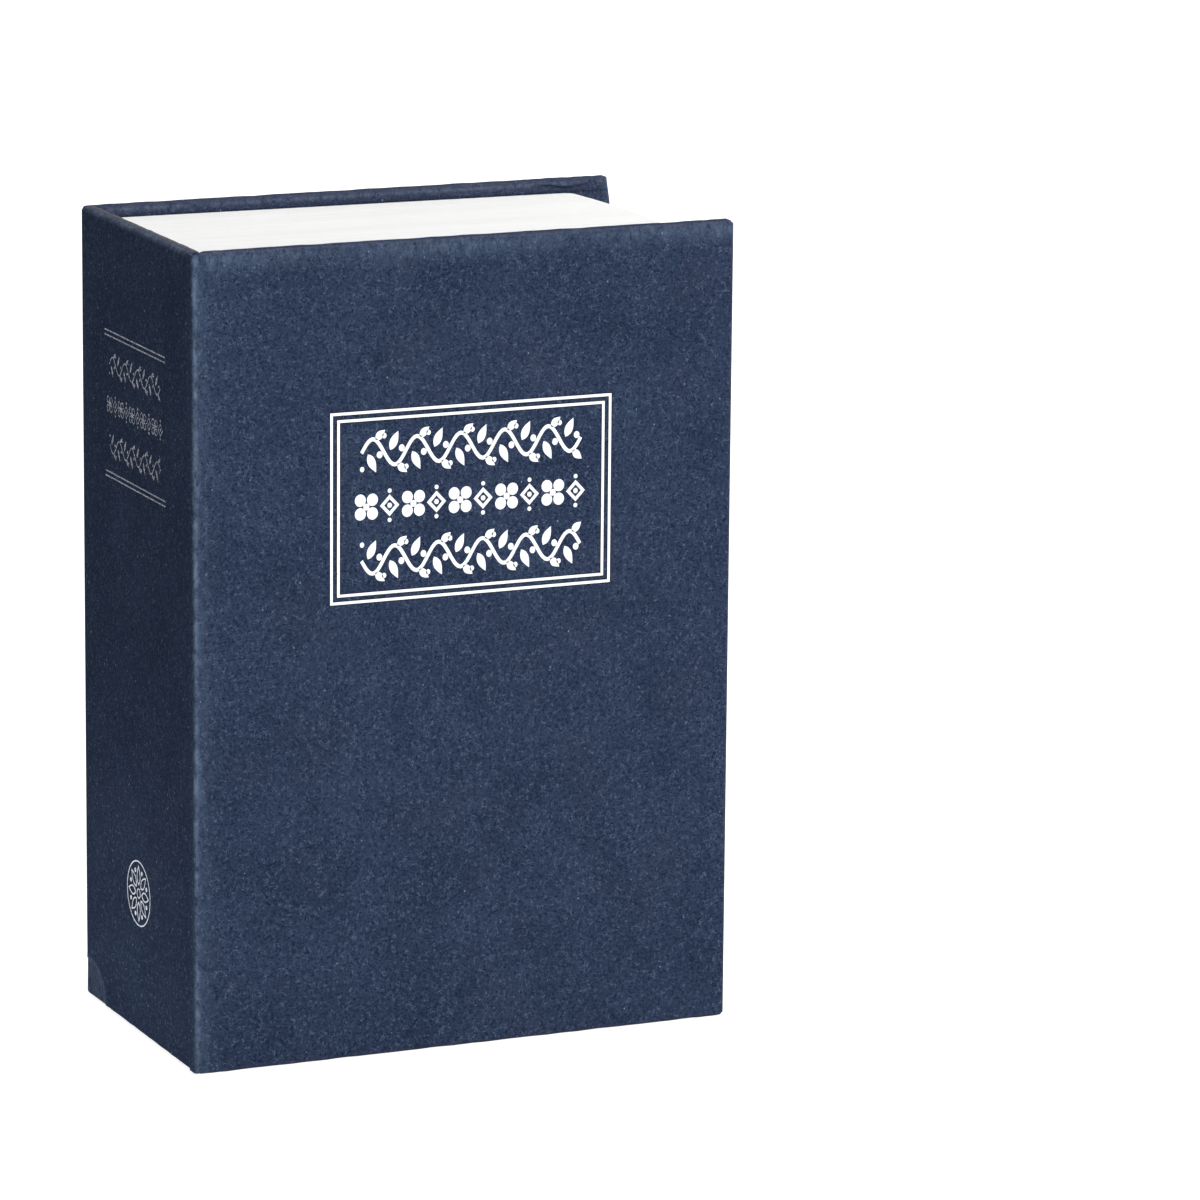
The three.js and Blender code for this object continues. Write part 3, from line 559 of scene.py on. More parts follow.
def worn_end(points, from_end, across):
    """Cloth sinks at head and tail by the joint's mitre, and is domed across its width."""
    near = ramp(from_middle(points), 0.975, 1)
    drop = mitre_sink * ramp(from_end, mitre_sink_reach, 0) ** 2 + across ** 2
    points[:, 2] += toward_middle(points) * near * drop * mm


mitre_reach = 1.1 * mm
mitre_sharpness = 0.9


def sharper_mitre(points, from_end):
    """Brings the head's corner at the mitre out again, and returns how near each point is to it."""
    from_head = case_high.z - points[:, 2]
    near = (from_end < mitre_reach) & (from_head < mitre_reach)
    points[near, 2] += mitre_sharpness * (from_head * (1 - from_end / mitre_reach))[near]
    return np.where(near, 1 - from_end / mitre_reach, 0)


edge_grime, edge_wear = 0.85, 0.12

# Front board's cloth: measured from the fore-edge to the mitre, and outward from the board's inner face
front_length = front_high.x - (case_low.x + mitre_set + case_wall / 2)
fore_zone, mitre_zone = 8 * mm, 6 * mm
front_lines = grid_lines(front_length, [
    (0, fore_zone, edge_step), (fore_zone, front_length - mitre_zone, wide_step),
    (front_length - mitre_zone, front_length, edge_step),
])
lining_end = front_high.x - (case_low.x + case_wall + joint_lining)


def front_window(along, height):
    return turn_in < along < lining_end and turn_in < height < case_high.z - turn_in


points, faces = block_skin((front_lines, wall_lines, height_lines), front_window)
points, edge = rounded_block(points, (front_length, case_wall, case_high.z))
along, out = points[:, 0].copy(), points[:, 1] - case_wall / 2
from_joint = front_length - along
points[:, 0] = front_high.x - along - out * ramp(from_joint, shear_reach, 0)
points[:, 1] = (front_low.y + front_high.y) / 2 - out
round_fore_corners(points, front_high, corner_round)
# Painted shade: the notch at the mitre's head corner is darkened, and other marks are kept out of it
notch_shade = sharper_mitre(points, from_joint)
uneven_ends(points)
worn_end(points, from_joint, 0.25 * out / case_wall)

# The face is paler in a band just below the head, and worn a little paler along the joint
paled_most, paled_rise, paled_full, paled_end = 0.62, 1.3, 1.6, 6.1
joint_most, joint_full, joint_end = 0.2, 1 * mm, 7 * mm
below_head = (case_high.z - points[:, 2]) / mm
paled = paled_most * ramp(below_head, 0, paled_rise) * ramp(below_head, paled_end, paled_full) ** 1.5
paled *= 0.8 + waves(along, (0.2, 0.12, 0), (0.14, 0.31, 1))
beside_joint = joint_most * ramp(from_joint, joint_end, joint_full) ** 2
on_face = out > 0.3 * case_wall
wear_and_highlight = (np.where(on_face, np.maximum(paled, beside_joint), 0) + edge * edge_wear) * (1 - notch_shade)
front_cloth = cloth_sheet("front_cloth_cover", points, faces,
                          {"wear_and_highlight": wear_and_highlight, "rubbed": edge * edge_grime, "shadowed": notch_shade}, book_cloth)
fitted(front_cloth, "front_cover", "cover_cloth", "front_cover_cloth")

# Cloth of spine and back board: measured from the mitre round the back corner to the fore-edge
spine_middle = case_low.x + case_wall / 2
back_middle = case_high.y - case_wall / 2
mitre_middle = case_low.y + mitre_set + case_wall / 2
corner_along = back_middle - mitre_middle
case_length = corner_along + case_high.x - spine_middle
dent_zone, back_zone, fore_fine = 16 * mm, 6 * mm, 20 * mm
corner_half = 2.4 * mm
case_stops = [0, mitre_zone, corner_along - dent_zone, corner_along - corner_half,
              corner_along + corner_half, corner_along + back_zone, case_length - fore_fine, case_length]
case_steps = [edge_step, wide_step, dent_step, round_step, edge_step, wide_step, crease_step]
case_lines = grid_lines(case_length, list(zip(case_stops, case_stops[1:], case_steps)))


def case_window(along, height):
    start = joint_lining + case_wall / 2 - mitre_set
    return start < along < case_length - turn_in and turn_in < height < case_high.z - turn_in


points, faces = block_skin((case_lines, wall_lines, height_lines), case_window)
points, edge = rounded_block(points, (case_length, case_wall, case_high.z))
along, out = points[:, 0].copy(), points[:, 1] - case_wall / 2
slant = ramp(along, shear_reach, 0)
turn = ramp(np.abs(along - corner_along), shear_reach, 0)
on_spine = along <= corner_along
points[:, 0] = np.where(on_spine, spine_middle - out, spine_middle + along - corner_along - out * turn)
points[:, 1] = np.where(on_spine, mitre_middle + along - out * slant + out * turn, back_middle + out)
corner_rub, corner_rub_reach = 0.7, 1.5 * mm
to_corner = np.hypot(points[:, 0] - case_low.x, points[:, 1] - case_high.y)
rubbed = np.maximum(edge * edge_grime, ramp(to_corner, corner_rub_reach, 0) * corner_rub)
wear_and_highlight = edge * edge_wear
head_fore_round = 0.3 * mm
round_corner(points, (0, 1), (case_low.x + corner_round, case_high.y - corner_round), (-1, 1))
round_fore_corners(points, case_high, head_fore_round)
# Painted shade: the notch at the mitre's head corner is darkened, and other marks are kept out of it
notch_shade = sharper_mitre(points, along)
uneven_ends(points)

# The spine's head is rubbed grey outside, with a painted highlight along its ridge, and worn down to the
# board inside
above_leaves = (points[:, 2] - page_head) / mm
outward = out / (case_wall / 2)
spine_head = on_spine & (above_leaves > 1.5)
on_ridge = above_leaves > 2.4
ridge_rub, highlight_place, bared_place, across_half = 0.85, 0.65, -0.15, 0.35
rubbed = np.where(spine_head, ridge_rub * ramp(outward, -0.12, 0.18) * on_ridge, rubbed)
head_highlight = bell(outward, highlight_place, across_half) * on_ridge
wear_and_highlight = np.where(spine_head, head_highlight * (0.75 + waves(points[:, 1], (0.25, 0.4, -1.2))), wear_and_highlight)
bared = np.where(spine_head, bell(outward, bared_place, across_half), 0)

# Grime has settled on the back board's inner face above the leaves, under a lilac band at its rim
strip_grime, strip_cleaner, lilac_most, lilac_place, lilac_half = 0.75, 0.3, 0.5, 1.0, 0.45
on_strip = ~on_spine & (outward < -0.2) & (above_leaves > -1)
below_rim = (case_high.z - points[:, 2]) / mm
strip_rub = strip_grime - strip_cleaner * ramp(below_rim, 1.2, 2.0)
rubbed = np.where(on_strip, np.maximum(rubbed, strip_rub), rubbed)
wear_and_highlight = np.where(on_strip, np.maximum(wear_and_highlight, lilac_most * bell(below_rim, lilac_place, lilac_half)), wear_and_highlight)
worn_end(points, along, np.where(on_spine, 1.5, 0.5) * out / case_wall)

# The tail corner of spine and back has been knocked: a shallow facet behind a crisp curved ridge. The facet
# is painted lighter and the ridge carries a painted highlight.
dent_reach, dent_height, dent_power = 12.5 * mm, 9 * mm, 2.5
dent_depth, ridge_proud, ridge_half, facet_start, facet_shy = 0.42, 0.12, 0.06, 0.05, 1.6 * mm
facet_highlight, dent_ridge_highlight = 0.5, 0.95
from_corner = np.clip(case_high.y - points[:, 1], 0, None)
dent = ((from_corner / dent_reach) ** dent_power
        + (np.clip(points[:, 2], 0, None) / dent_height) ** dent_power) ** (1 / dent_power)
on_face = on_spine & (points[:, 0] < case_low.x + 1.5 * mm)
inside = np.clip(1 - dent, 0, 1)
ridge = bell(dent, 1, ridge_half)
sunk = dent_depth * ramp(inside, 0, facet_start) * np.clip(1 - inside, 0, 1) ** 1.2
off_corner = ramp(from_corner, 0, facet_shy)
points[:, 0] += np.where(on_face, (sunk - ridge_proud * ridge) * off_corner, 0) * mm
dent_highlight = facet_highlight * (inside > facet_start) + dent_ridge_highlight * ridge * off_corner
wear_and_highlight = np.maximum(wear_and_highlight, np.where(on_face, dent_highlight, 0))

# A wavy crease in the cloth turned in at the head of the back board, with painted shade in it under a painted
# highlight on its lip
crease_start, crease_end = 43 * mm, 58.5 * mm
crease_drop, crease_wave, crease_half, crease_pace = 1.7 * mm, 0.35 * mm, 0.28 * mm, 1.9 * mm
crease_depth, lip_proud, lip_highlight = 0.45, 0.3, 0.5
crease_place = case_high.z - crease_drop + crease_wave * np.sin((points[:, 0] - crease_start) / crease_pace)
crease_share = ramp(points[:, 0], crease_start, crease_end)
crease_fade = np.where(on_strip, np.sin(np.pi * crease_share) ** 0.6, 0)
crease = bell(points[:, 2], crease_place, crease_half) * crease_fade
lip = bell(points[:, 2], crease_place + 2 * crease_half, crease_half) * crease_fade
points[:, 1] += (crease_depth * crease - lip_proud * lip) * mm

# The leaves' head rises towards the spine, and a painted shadow line on the cloth just above it follows it
rise_start, head_rise, contact_above, contact_half = 0.12, 0.5, 0.1, 0.38
leaves_rise = rise_start + head_rise * ramp(points[:, 0], case_high.x, case_low.x)
contact_shadow = bell(above_leaves, leaves_rise + contact_above, contact_half)
# Painted shade: in the crease, in the notch at the mitre, and in the line along the leaves' head
shadowed = np.maximum(np.maximum(crease, notch_shade), np.where(on_strip, contact_shadow, 0))
wear_and_highlight = np.maximum(wear_and_highlight * (1 - shadowed), lip_highlight * lip)
rubbed, bared = rubbed * (1 - notch_shade), bared * (1 - notch_shade)

# The fore corner at the head is worn, and folded sharper than the rest
fore_wear, sharp_reach, sharpness = 0.55, 0.9 * mm, 0.65
at_fore = ramp(points[:, 0], case_high.x - 2.2 * mm, case_high.x - 0.7 * mm)
at_head = ramp(points[:, 2], case_high.z - 7 * mm, case_high.z - 4 * mm)
wear_and_highlight = np.maximum(wear_and_highlight, at_fore * at_head * fore_wear)
from_fore, from_head = case_high.x - points[:, 0], case_high.z - points[:, 2]
near = (from_fore < sharp_reach) & (from_head < sharp_reach)
points[near, 0] += sharpness * (from_fore * (1 - from_head / sharp_reach))[near]
points[near, 2] += sharpness * (from_head * (1 - from_fore / sharp_reach))[near]
drawn_in(points)
case_cloth = cloth_sheet("case_cloth_cover", points, faces,
                         {"wear_and_highlight": wear_and_highlight, "rubbed": rubbed, "bared": bared, "shadowed": shadowed}, book_cloth)
fitted(case_cloth, "book_body", "cover_cloth", "spine_back_cloth")

# The fold over the joint: cloth on the book's front left corner, rubbed pale along its edge.
# Its section is a list of places along the front, depths in the cloth, and shares of wear.
fold_reach, fold_lap, fold_end = 3.4 * mm, 0.3 * mm, 0.45 * mm
fold_round, fold_proud, fold_sink = 0.6 * mm, 0.03 * mm, 0.05 * mm
fold_steps = 6
edge_most, edge_least = 1.15, 0.3
fold_profile = [(fold_reach, fold_sink, 0.16), (fold_reach - fold_lap, -fold_proud, 0.17)]
fold_profile += [(place * mm, -fold_proud, mark) for place, mark in
                 ((2.4, 0.2), (1.8, 0.27), (1.35, 0.4), (1.1, 0.6), (0.85, 0.85))]
for i in range(fold_steps + 1):
    angle = math.pi / 2 * i / fold_steps
    x = fold_round - (fold_round + fold_proud) * math.sin(angle)
    y = fold_round - (fold_round + fold_proud) * math.cos(angle)
    fold_profile.append((x, y, edge_most - (edge_most - edge_least) * i / fold_steps))
fold_profile += [(-fold_proud, 2 * fold_round, 0.1), (-fold_proud, fold_reach - fold_lap, 0.0),
                 (fold_sink, fold_reach, 0.0)]
fold_count, scuff_width = 260, 5
scuff_least, scuff_range, scuff_head, scuffed_from = 0.6, 0.65, 0.25, 0.35
scuffs = np.random.default_rng(11).random(fold_count + scuff_width)
scuffs = np.convolve(scuffs, np.ones(scuff_width) / scuff_width, "valid")
scuffs = ramp(scuffs, 0.3, 0.65)
points, wear_and_highlight, faces = [], [], []
for i in range(fold_count + 1):
    share = i / fold_count
    z = case_low.z + fold_end + (case_high.z - case_low.z - 2 * fold_end) * share
    scuff = scuff_least + scuff_range * scuffs[i] + scuff_head * max(0, share - 0.6)
    for x, y, mark in fold_profile:
        points.append((case_low.x + x, front_low.y + y, z))
        wear_and_highlight.append(mark * (scuff if mark > scuffed_from else 1))
row = len(fold_profile)
for i in range(fold_count):
    for a in range(i * row, (i + 1) * row - 1):
        faces.append((a, a + row, a + row + 1, a + 1))
fold = cloth_sheet("joint_fold", points, faces, {"wear_and_highlight": np.array(wear_and_highlight)}, book_cloth)
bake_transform(fold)


# Silver foil: blocking foil pressed on the cloth with a hot die, 0.03 mm proud of it.
# A double-ruled panel on the front and two pairs of rules on the spine frame printer's ornaments.
def foil_finish(name, colour, gap_low, gap_high, roughness):
    """Bright foil, broken where the weave shows through."""
    material, tree, surface = new_material(name)
    grain = noise(tree, 2300, detail=3.0, roughness=0.7)
    whole = band(tree, grain, gap_low, gap_high)
    duller = tuple(0.9 * c for c in colour)
    shine = blended(tree, band(tree, noise(tree, 160), 0.3, 0.7), duller, colour)
    set_inputs(tree, surface, {
        "Base Color": blended(tree, whole, cloth_dark, shine),
        "Metallic": band(tree, whole, 0, 1, 0.0, 0.85),
        "Roughness": band(tree, whole, 0, 1, 0.8, roughness),
    })
    relief(tree, surface, grain, 0.05 * mm, 0.5)
    return material


front_foil = foil_finish("silver_foil", (0.84, 0.87, 0.88), 0.24, 0.36, 0.38)
# The spine's rules get a darker silver than the front's, as painted shade for the spine's side away from the
# lamps, and are more broken where the foil is rubbed
spine_foil = foil_finish("rubbed_and_shaded_foil", (0.36, 0.39, 0.45), 0.4, 0.58, 0.5)
emblem_foil = foil_finish("emblem_foil", (0.62, 0.65, 0.7), 0.3, 0.46, 0.45)
foil_height = 0.03


def strip(first, second, low=-foil_height, high=foil_height, closed=False):
    """A flat solid strip between two lines of points, in millimetres: its points and faces."""
    count = len(first)
    points = [(u, v, z) for z in (low, high) for line in (first, second) for u, v in line]
    faces = []
    for i in range(count if closed else count - 1):
        j = (i + 1) % count
        a, b, c, d = i, j, count + j, count + i
        top = 2 * count
        faces += [(d, c, b, a), (a + top, b + top, c + top, d + top)]
        faces += [(a, b, b + top, a + top), (c, d, d + top, c + top)]
    if not closed:
        last = count - 1
        faces += [(0, top, top + count, count), (last, count + last, top + count + last, top + last)]
    return points, faces


def merged_parts(*parts):
    points, faces = [], []
    for more_points, more_faces in parts:
        start = len(points)
        points += list(more_points)
        faces += [[start + i for i in face] for face in more_faces]
    return points, faces


def welded_outward(shape):
    bmesh.ops.remove_doubles(shape, verts=shape.verts, dist=0.001 * mm)
    bmesh.ops.recalc_face_normals(shape, faces=shape.faces)


def solid_piece(name, part, place=Matrix.Identity(4), material=None):
    """A piece from points and faces in millimetres, in place, its doubles merged, its faces outward."""
    piece = new_piece(name, *part, material)
    piece.data.transform(place @ Matrix.Scale(mm, 4))
    reshaped(piece.data, welded_outward)
    return piece


def two_edges(place, steps=8):
    """Two lines of points, each from a function of how far along it is and of its side."""
    return [[place(i / steps, side) for i in range(steps + 1)] for side in (1, -1)]


def leaf_edges(u, v, angle, length, width):
    """The two edges of a pointed leaf, from its foot in a direction, in degrees."""
    turn = Matrix.Rotation(math.radians(angle), 2)

    def place(share, side):
        half = side * width / 2 * math.sin(math.pi * share ** 0.8)
        point = turn @ Vector((share * length, half))
        return u + point.x, v + point.y

    return two_edges(place)


def leaf(*shape):
    return strip(*leaf_edges(*shape))


def hollow_leaf(u, v, angle, length, width, line):
    """A leaf's outline as a thin line."""
    turn = Matrix.Rotation(math.radians(angle), 2)
    foot = Vector((u, v)) + turn @ Vector((1.6 * line, 0))
    loops = []
    for first, second in (leaf_edges(u, v, angle, length, width),
                          leaf_edges(foot.x, foot.y, angle, length - 3.6 * line, width - 2 * line)):
        loops.append(first + second[-2:0:-1])
    return strip(*loops, closed=True)


def dot(u, v, radius):
    def place(share, side):
        return u + radius * math.cos(math.pi * share), v + side * radius * math.sin(math.pi * share)
    return strip(*two_edges(place))


def ring(u, v, outer, inner, corners, turn=0.0):
    """A closed band round a place, with as many corners as named."""
    angles = [turn + 2 * math.pi * i / corners for i in range(corners)]
    edges = [[(u + r * math.cos(a), v + r * math.sin(a)) for a in angles] for r in (outer, inner)]
    return strip(*edges, closed=True)


def frame_rule(left, right, bottom, top, width, height):
    """A rule of one width and height round a panel, measured to its outer edge."""
    def corners(inset):
        return [(left + inset, bottom + inset), (right - inset, bottom + inset),
                (right - inset, top - inset), (left + inset, top - inset)]
    return strip(corners(0), corners(width), -height, height, closed=True)


def wave_cell(length, height, width, leaf_length, leaf_width=1.5, berry=0.55):
    """One wave of a stem with a leaf, a bud and two berries in each of its two hollows."""
    leaf_turn, bud_turn = 62, 38
    bud_length, bud_width, small_berry = 0.7 * leaf_length, 0.87 * leaf_width, 0.76 * berry

    def place(share, side):
        slope = height * 2 * math.pi / length * math.cos(2 * math.pi * share)
        scale = side * width / 2 / math.hypot(1, slope)
        return share * length - slope * scale, height * math.sin(2 * math.pi * share) + scale

    parts = [strip(*two_edges(place, 20))]
    for middle, side in ((length / 4, 1), (3 * length / 4, -1)):
        parts += [
            leaf(middle - 0.9, -side * 0.1 * height, -side * leaf_turn, leaf_length, leaf_width),
            leaf(middle + 0.5, side * (height - 0.1), side * bud_turn, bud_length, bud_width),
            dot(middle + 1.3, -side * 0.2 * height, berry),
            dot(middle - 2.0, -side * 1.2 * height, small_berry),
        ]
    return merged_parts(*parts)


def flower_cell(petal, line=0.0):
    """Four round petals and an eye, beside a hollow lozenge between two dots. A line draws them hollow."""
    parts = [dot(0, 0, 0.55 * petal)]
    for i in range(4):
        angle = math.pi / 4 + math.pi / 2 * i
        u, v = 1.55 * petal * math.cos(angle), 1.55 * petal * math.sin(angle)
        parts.append(ring(u, v, petal, petal - line, 14) if line else dot(u, v, petal))
    side, lozenge = 4.2 * petal, 1.75 * petal
    parts.append(ring(side, 0, lozenge, lozenge - 1.3 * line if line else petal, 4))
    parts.append(dot(side, 0, 0.42 * petal))
    for v in (-2.35 * petal, 2.35 * petal):
        parts.append(dot(side, v, 0.36 * petal))
    return merged_parts(*parts)


def tree_inputs(tree, sockets):
    """Names a tree's inputs and its output, and gives the inputs."""
    for name, kind in sockets:
        tree.interface.new_socket(name=name, in_out="INPUT", socket_type="NodeSocket" + kind)
    tree.interface.new_socket(name="Geometry", in_out="OUTPUT", socket_type="NodeSocketGeometry")
    return add_node(tree, "NodeGroupInput").outputs


def copies_at(tree, points, motif, scale, material):
    """Ends a tree with a copy of a motif at every point, as real geometry of one material."""
    shape = add_node(tree, "GeometryNodeObjectInfo", {"Object": motif})
    copies = add_node(tree, "GeometryNodeInstanceOnPoints", {
        "Points": points, "Instance": shape.outputs["Geometry"], "Scale": scale,
    })
    real = add_node(tree, "GeometryNodeRealizeInstances", {"Geometry": copies.outputs[0]})
    finish = add_node(tree, "GeometryNodeSetMaterial", {"Geometry": real.outputs[0], "Material": material})
    add_node(tree, "NodeGroupOutput", {"Geometry": finish.outputs[0]})
    return tree


def row_nodes():
    """Geometry Nodes: copies of one motif in a row, from a start and by a step, as real geometry."""
    tree = bpy.data.node_groups.new("copies_in_a_row", "GeometryNodeTree")
    given = tree_inputs(tree, (("Motif", "Object"), ("Count", "Int"), ("Step", "Vector"),
                               ("Start", "Vector"), ("Size", "Vector"), ("Material", "Material")))
    line = add_node(tree, "GeometryNodeMeshLine", {
        "Count": given["Count"], "Start Location": given["Start"], "Offset": given["Step"],
    }, mode="OFFSET")
    return copies_at(tree, line.outputs[0], given["Motif"], given["Size"], given["Material"])


def use_nodes(piece, tree, values):
    """Adds a Geometry Nodes modifier and sets its inputs by their identifiers."""
    modifier = piece.modifiers.new(tree.name, "NODES")
    modifier.node_group = tree
    for item in tree.interface.items_tree:
        if item.item_type == "SOCKET" and item.in_out == "INPUT" and item.name in values:
            modifier[item.identifier] = values[item.name]


copies_in_a_row = row_nodes()


def joined(name, pieces):
    """Several pieces in place, as one."""
    whole = bmesh.new()
    slots = []
    for piece in pieces:
        finishes = [m for m in piece.data.materials if m]
        slots += [m for m in finishes if m not in slots]
        renumbered(piece.data, finishes, slots)
        whole.from_mesh(piece.data)
        bpy.data.objects.remove(piece)
    mesh = bpy.data.meshes.new(name)
    whole.to_mesh(mesh)
    whole.free()
    for finish in slots:
        mesh.materials.append(finish)
    return new_object(name, mesh)


def row_of(motif, count, step, start, size, place, material):
    """A row of copies of a motif, in a place's own millimetres, as a plain mesh."""
    row = new_piece("row", [], [])
    use_nodes(row, copies_in_a_row, {"Motif": motif, "Count": count, "Step": step, "Start": start,
                                     "Size": size, "Material": material})
    settled(row)
    row.data.transform(place @ Matrix.Scale(mm, 4))
    return row


def ornament_row(motif, count, pitch, middle, size, place, material):
    """A row about a middle."""
    start = (middle[0] - pitch * (count - 1) / 2, middle[1], 0)
    return row_of(motif, count, (pitch, 0, 0), start, size, place, material)


# The motifs, in millimetres, are patterns for the rows and are removed after use
wave_length, spine_wave = 8.4, 8.0
vine = new_piece("vine_motif", *wave_cell(wave_length, 2.1, 0.62, 3.3))
flower = new_piece("flower_motif", *flower_cell(1.05))
thin_vine = new_piece("thin_vine_motif", *wave_cell(spine_wave, 1.7, 0.3, 2.9, 0.8, 0.34))
thin_flower = new_piece("thin_flower_motif", *flower_cell(0.85, 0.24))

# Front panel, with u to the right and v up on the outer face
front_face = Matrix(((1, 0, 0, 0), (0, 0, -1, front_low.y), (0, 1, 0, 0), (0, 0, 0, 1)))
panel_left, panel_right, panel_bottom, panel_top = -31.7, 34.0, 101.6, 143.6
panel_middle = (panel_left + panel_right) / 2
rule_width, rule_step = 0.62, 1.6
press_margin, press_height = 0.2, 0.012
upper_row, middle_row, lower_row = 134.4, 122.6, 110.8
stretch, vine_rise, flower_rise = 1.22, 1.4, 1.3
vine_pitch, flower_pitch, flower_shift = stretch * wave_length, 10.9, 2.7
vine_middle = panel_middle - vine_pitch / 2


def panel_rules(margin, height):
    """The two rules round the front panel, wider by a margin on both sides."""
    rules = []
    for inset in (-margin, rule_step - margin):
        rules.append(frame_rule(panel_left + inset, panel_right - inset, panel_bottom + inset,
                                panel_top - inset, rule_width + 2 * margin, height))
    return merged_parts(*rules)


front_stamps = [solid_piece("rules", panel_rules(0, foil_height), front_face, front_foil)]
for motif, pitch, middle, size in (
    (vine, vine_pitch, (vine_middle, upper_row), (stretch, vine_rise, 1)),
    (flower, flower_pitch, (panel_middle - flower_shift, middle_row), (stretch, flower_rise, 1)),
    (vine, vine_pitch, (vine_middle, lower_row), (stretch, -vine_rise, 1)),
):
    front_stamps.append(ornament_row(motif, 5, pitch, middle, size, front_face, front_foil))

# The die has pressed the cloth beside the rules dark and smooth
pressed, tree, surface = new_material("pressed_cloth")
pressed_grain = band(tree, noise(tree, 1300, detail=3.0, roughness=0.7), 0.35, 0.65)
pressed_colour = blended(tree, pressed_grain, (0.01, 0.011, 0.016), (0.028, 0.03, 0.04))
set_inputs(tree, surface, {"Base Color": pressed_colour, "Roughness": 0.8, "Specular IOR Level": 0.05})
press_marks = solid_piece("front_press_marks", panel_rules(press_margin, press_height), front_face, pressed)
fitted(press_marks, "front_cover", "cover_cloth")
fitted(joined("front_foil_panel", front_stamps), "front_cover", "chrome")

# Spine, with u towards the front and v up on the outer face
spine_face = Matrix(((0, 0, -1, case_low.x), (-1, 0, 0, 0), (0, 1, 0, 0), (0, 0, 0, 1)))
spine_rule_left, spine_rule_right, spine_rule_width = -19.6, 18.2, 0.3
spine_rule_heights = (154.9, 153.8, 123.5, 122.4)
spine_middle_u = (spine_rule_left + spine_rule_right) / 2
upper_row, middle_row, lower_row = 147.6, 138.6, 129.6
rosette_height, rosette_radius = 32.1, 7.4
thin_flower_pitch, thin_flower_shift = 7.1, 1.8
thin_vine_middle = spine_middle_u - spine_wave / 2


def straight_rule(height):
    low, high = height - spine_rule_width / 2, height + spine_rule_width / 2
    return strip([(spine_rule_left, low), (spine_rule_right, low)],
                 [(spine_rule_left, high), (spine_rule_right, high)])


def rosette(v, radius):
    """Eight hollow leaves and eight dots round an eye, inside a thin ring."""
    line, eye, foot, between = 0.04 * radius, 0.16 * radius, 0.24 * radius, 0.72 * radius
    parts = [ring(0, v, eye, eye - line, 24), ring(0, v, radius, radius - line, 64)]
    for i in range(8):
        angle = math.radians(45 * i)
        parts.append(hollow_leaf(foot * math.cos(angle), v + foot * math.sin(angle), 45 * i,
                                 0.64 * radius, 0.3 * radius, line))
        angle += math.radians(22.5)
        parts.append(dot(between * math.cos(angle), v + between * math.sin(angle), 0.07 * radius))
    return merged_parts(*parts)


spine_rules = merged_parts(*[straight_rule(z) for z in spine_rule_heights])
spine_stamps = [
    solid_piece("rules", spine_rules, spine_face, spine_foil),
    solid_piece("rosette", rosette(rosette_height, rosette_radius), spine_face, emblem_foil),
]
for motif, count, pitch, middle, size in (
    (thin_vine, 4, spine_wave, (thin_vine_middle, upper_row), (1, 1, 1)),
    (thin_flower, 5, thin_flower_pitch, (spine_middle_u - thin_flower_shift, middle_row), (1, 1, 1)),
    (thin_vine, 4, spine_wave, (thin_vine_middle, lower_row), (1, -1, 1)),
):
    spine_stamps.append(ornament_row(motif, count, pitch, middle, size, spine_face, spine_foil))
fitted(joined("spine_foil_stamp", spine_stamps), "book_body", "chrome")
for motif in (vine, flower, thin_vine, thin_flower):
    bpy.data.objects.remove(motif)


# Endpapers: plain white paper, pasted over the turn-ins with a margin of cloth left showing.
# Each sheet dips where the turn-ins end under it, and has dried with slight ripples.
def paper_finish():
    material, tree, surface = new_material("endpaper")
    fibres = noise(tree, 1, (700, 700, 1300), detail=4.0, roughness=0.65)
    colour = blended(tree, band(tree, fibres, 0.3, 0.7), (0.79, 0.78, 0.75), (0.88, 0.87, 0.85))
    set_inputs(tree, surface, {"Base Color": colour, "Roughness": 0.85, "Specular IOR Level": 0.2})
    relief(tree, surface, fibres, 0.03 * mm, 0.5)
    return material


def even_lines(start, end, *spans):
    """Places from start to end: each span up to its own end by its own step, the rest by a wide one."""
    places = [start]
    for stop, step in (*spans, (end, wide_step)):
        begin = places[-1]
        if stop - begin > 0.1 * mm:
            count = max(1, round((stop - begin) / step))
            places += [begin + (stop - begin) * i / count for i in range(1, count + 1)]
    return np.array(places)


def without_loose(shape):
    bmesh.ops.delete(shape, geom=[v for v in shape.verts if not v.link_faces], context="VERTS")


def sheet_piece(name, points, thickness, material, kept=None):
    """A sheet through a grid of points, as many rows as the array has, thick to both sides."""
    rows, columns = points.shape[:2]
    faces = []
    for i in range(rows - 1):
        for j in range(columns - 1):
            if kept is None or kept(i, j):
                corner = i * columns + j
                faces.append((corner, corner + 1, corner + columns + 1, corner + columns))
    piece = new_piece(name, points.reshape(-1, 3), faces, material)
    reshaped(piece.data, without_loose)
    wall = piece.modifiers.new("thickness", "SOLIDIFY")
    wall.thickness = thickness
    wall.offset = 0
    wall.use_even_offset = True
    return settled(piece)


endpaper_white = paper_finish()
paper_thickness = 0.2 * mm
dip_run, dip_step, margin_step = 1.6 * mm, 0.4 * mm, 1.5 * mm
ripple_height = 0.0175 * mm


def dipped_lines(start, first, last, end):
    """Places across a sheet that dips between two lines, closer together where it dips."""
    return even_lines(start, end, (first, margin_step), (first + dip_run, dip_step),
                      (last - dip_run, wide_step), (last, dip_step), (end, margin_step))


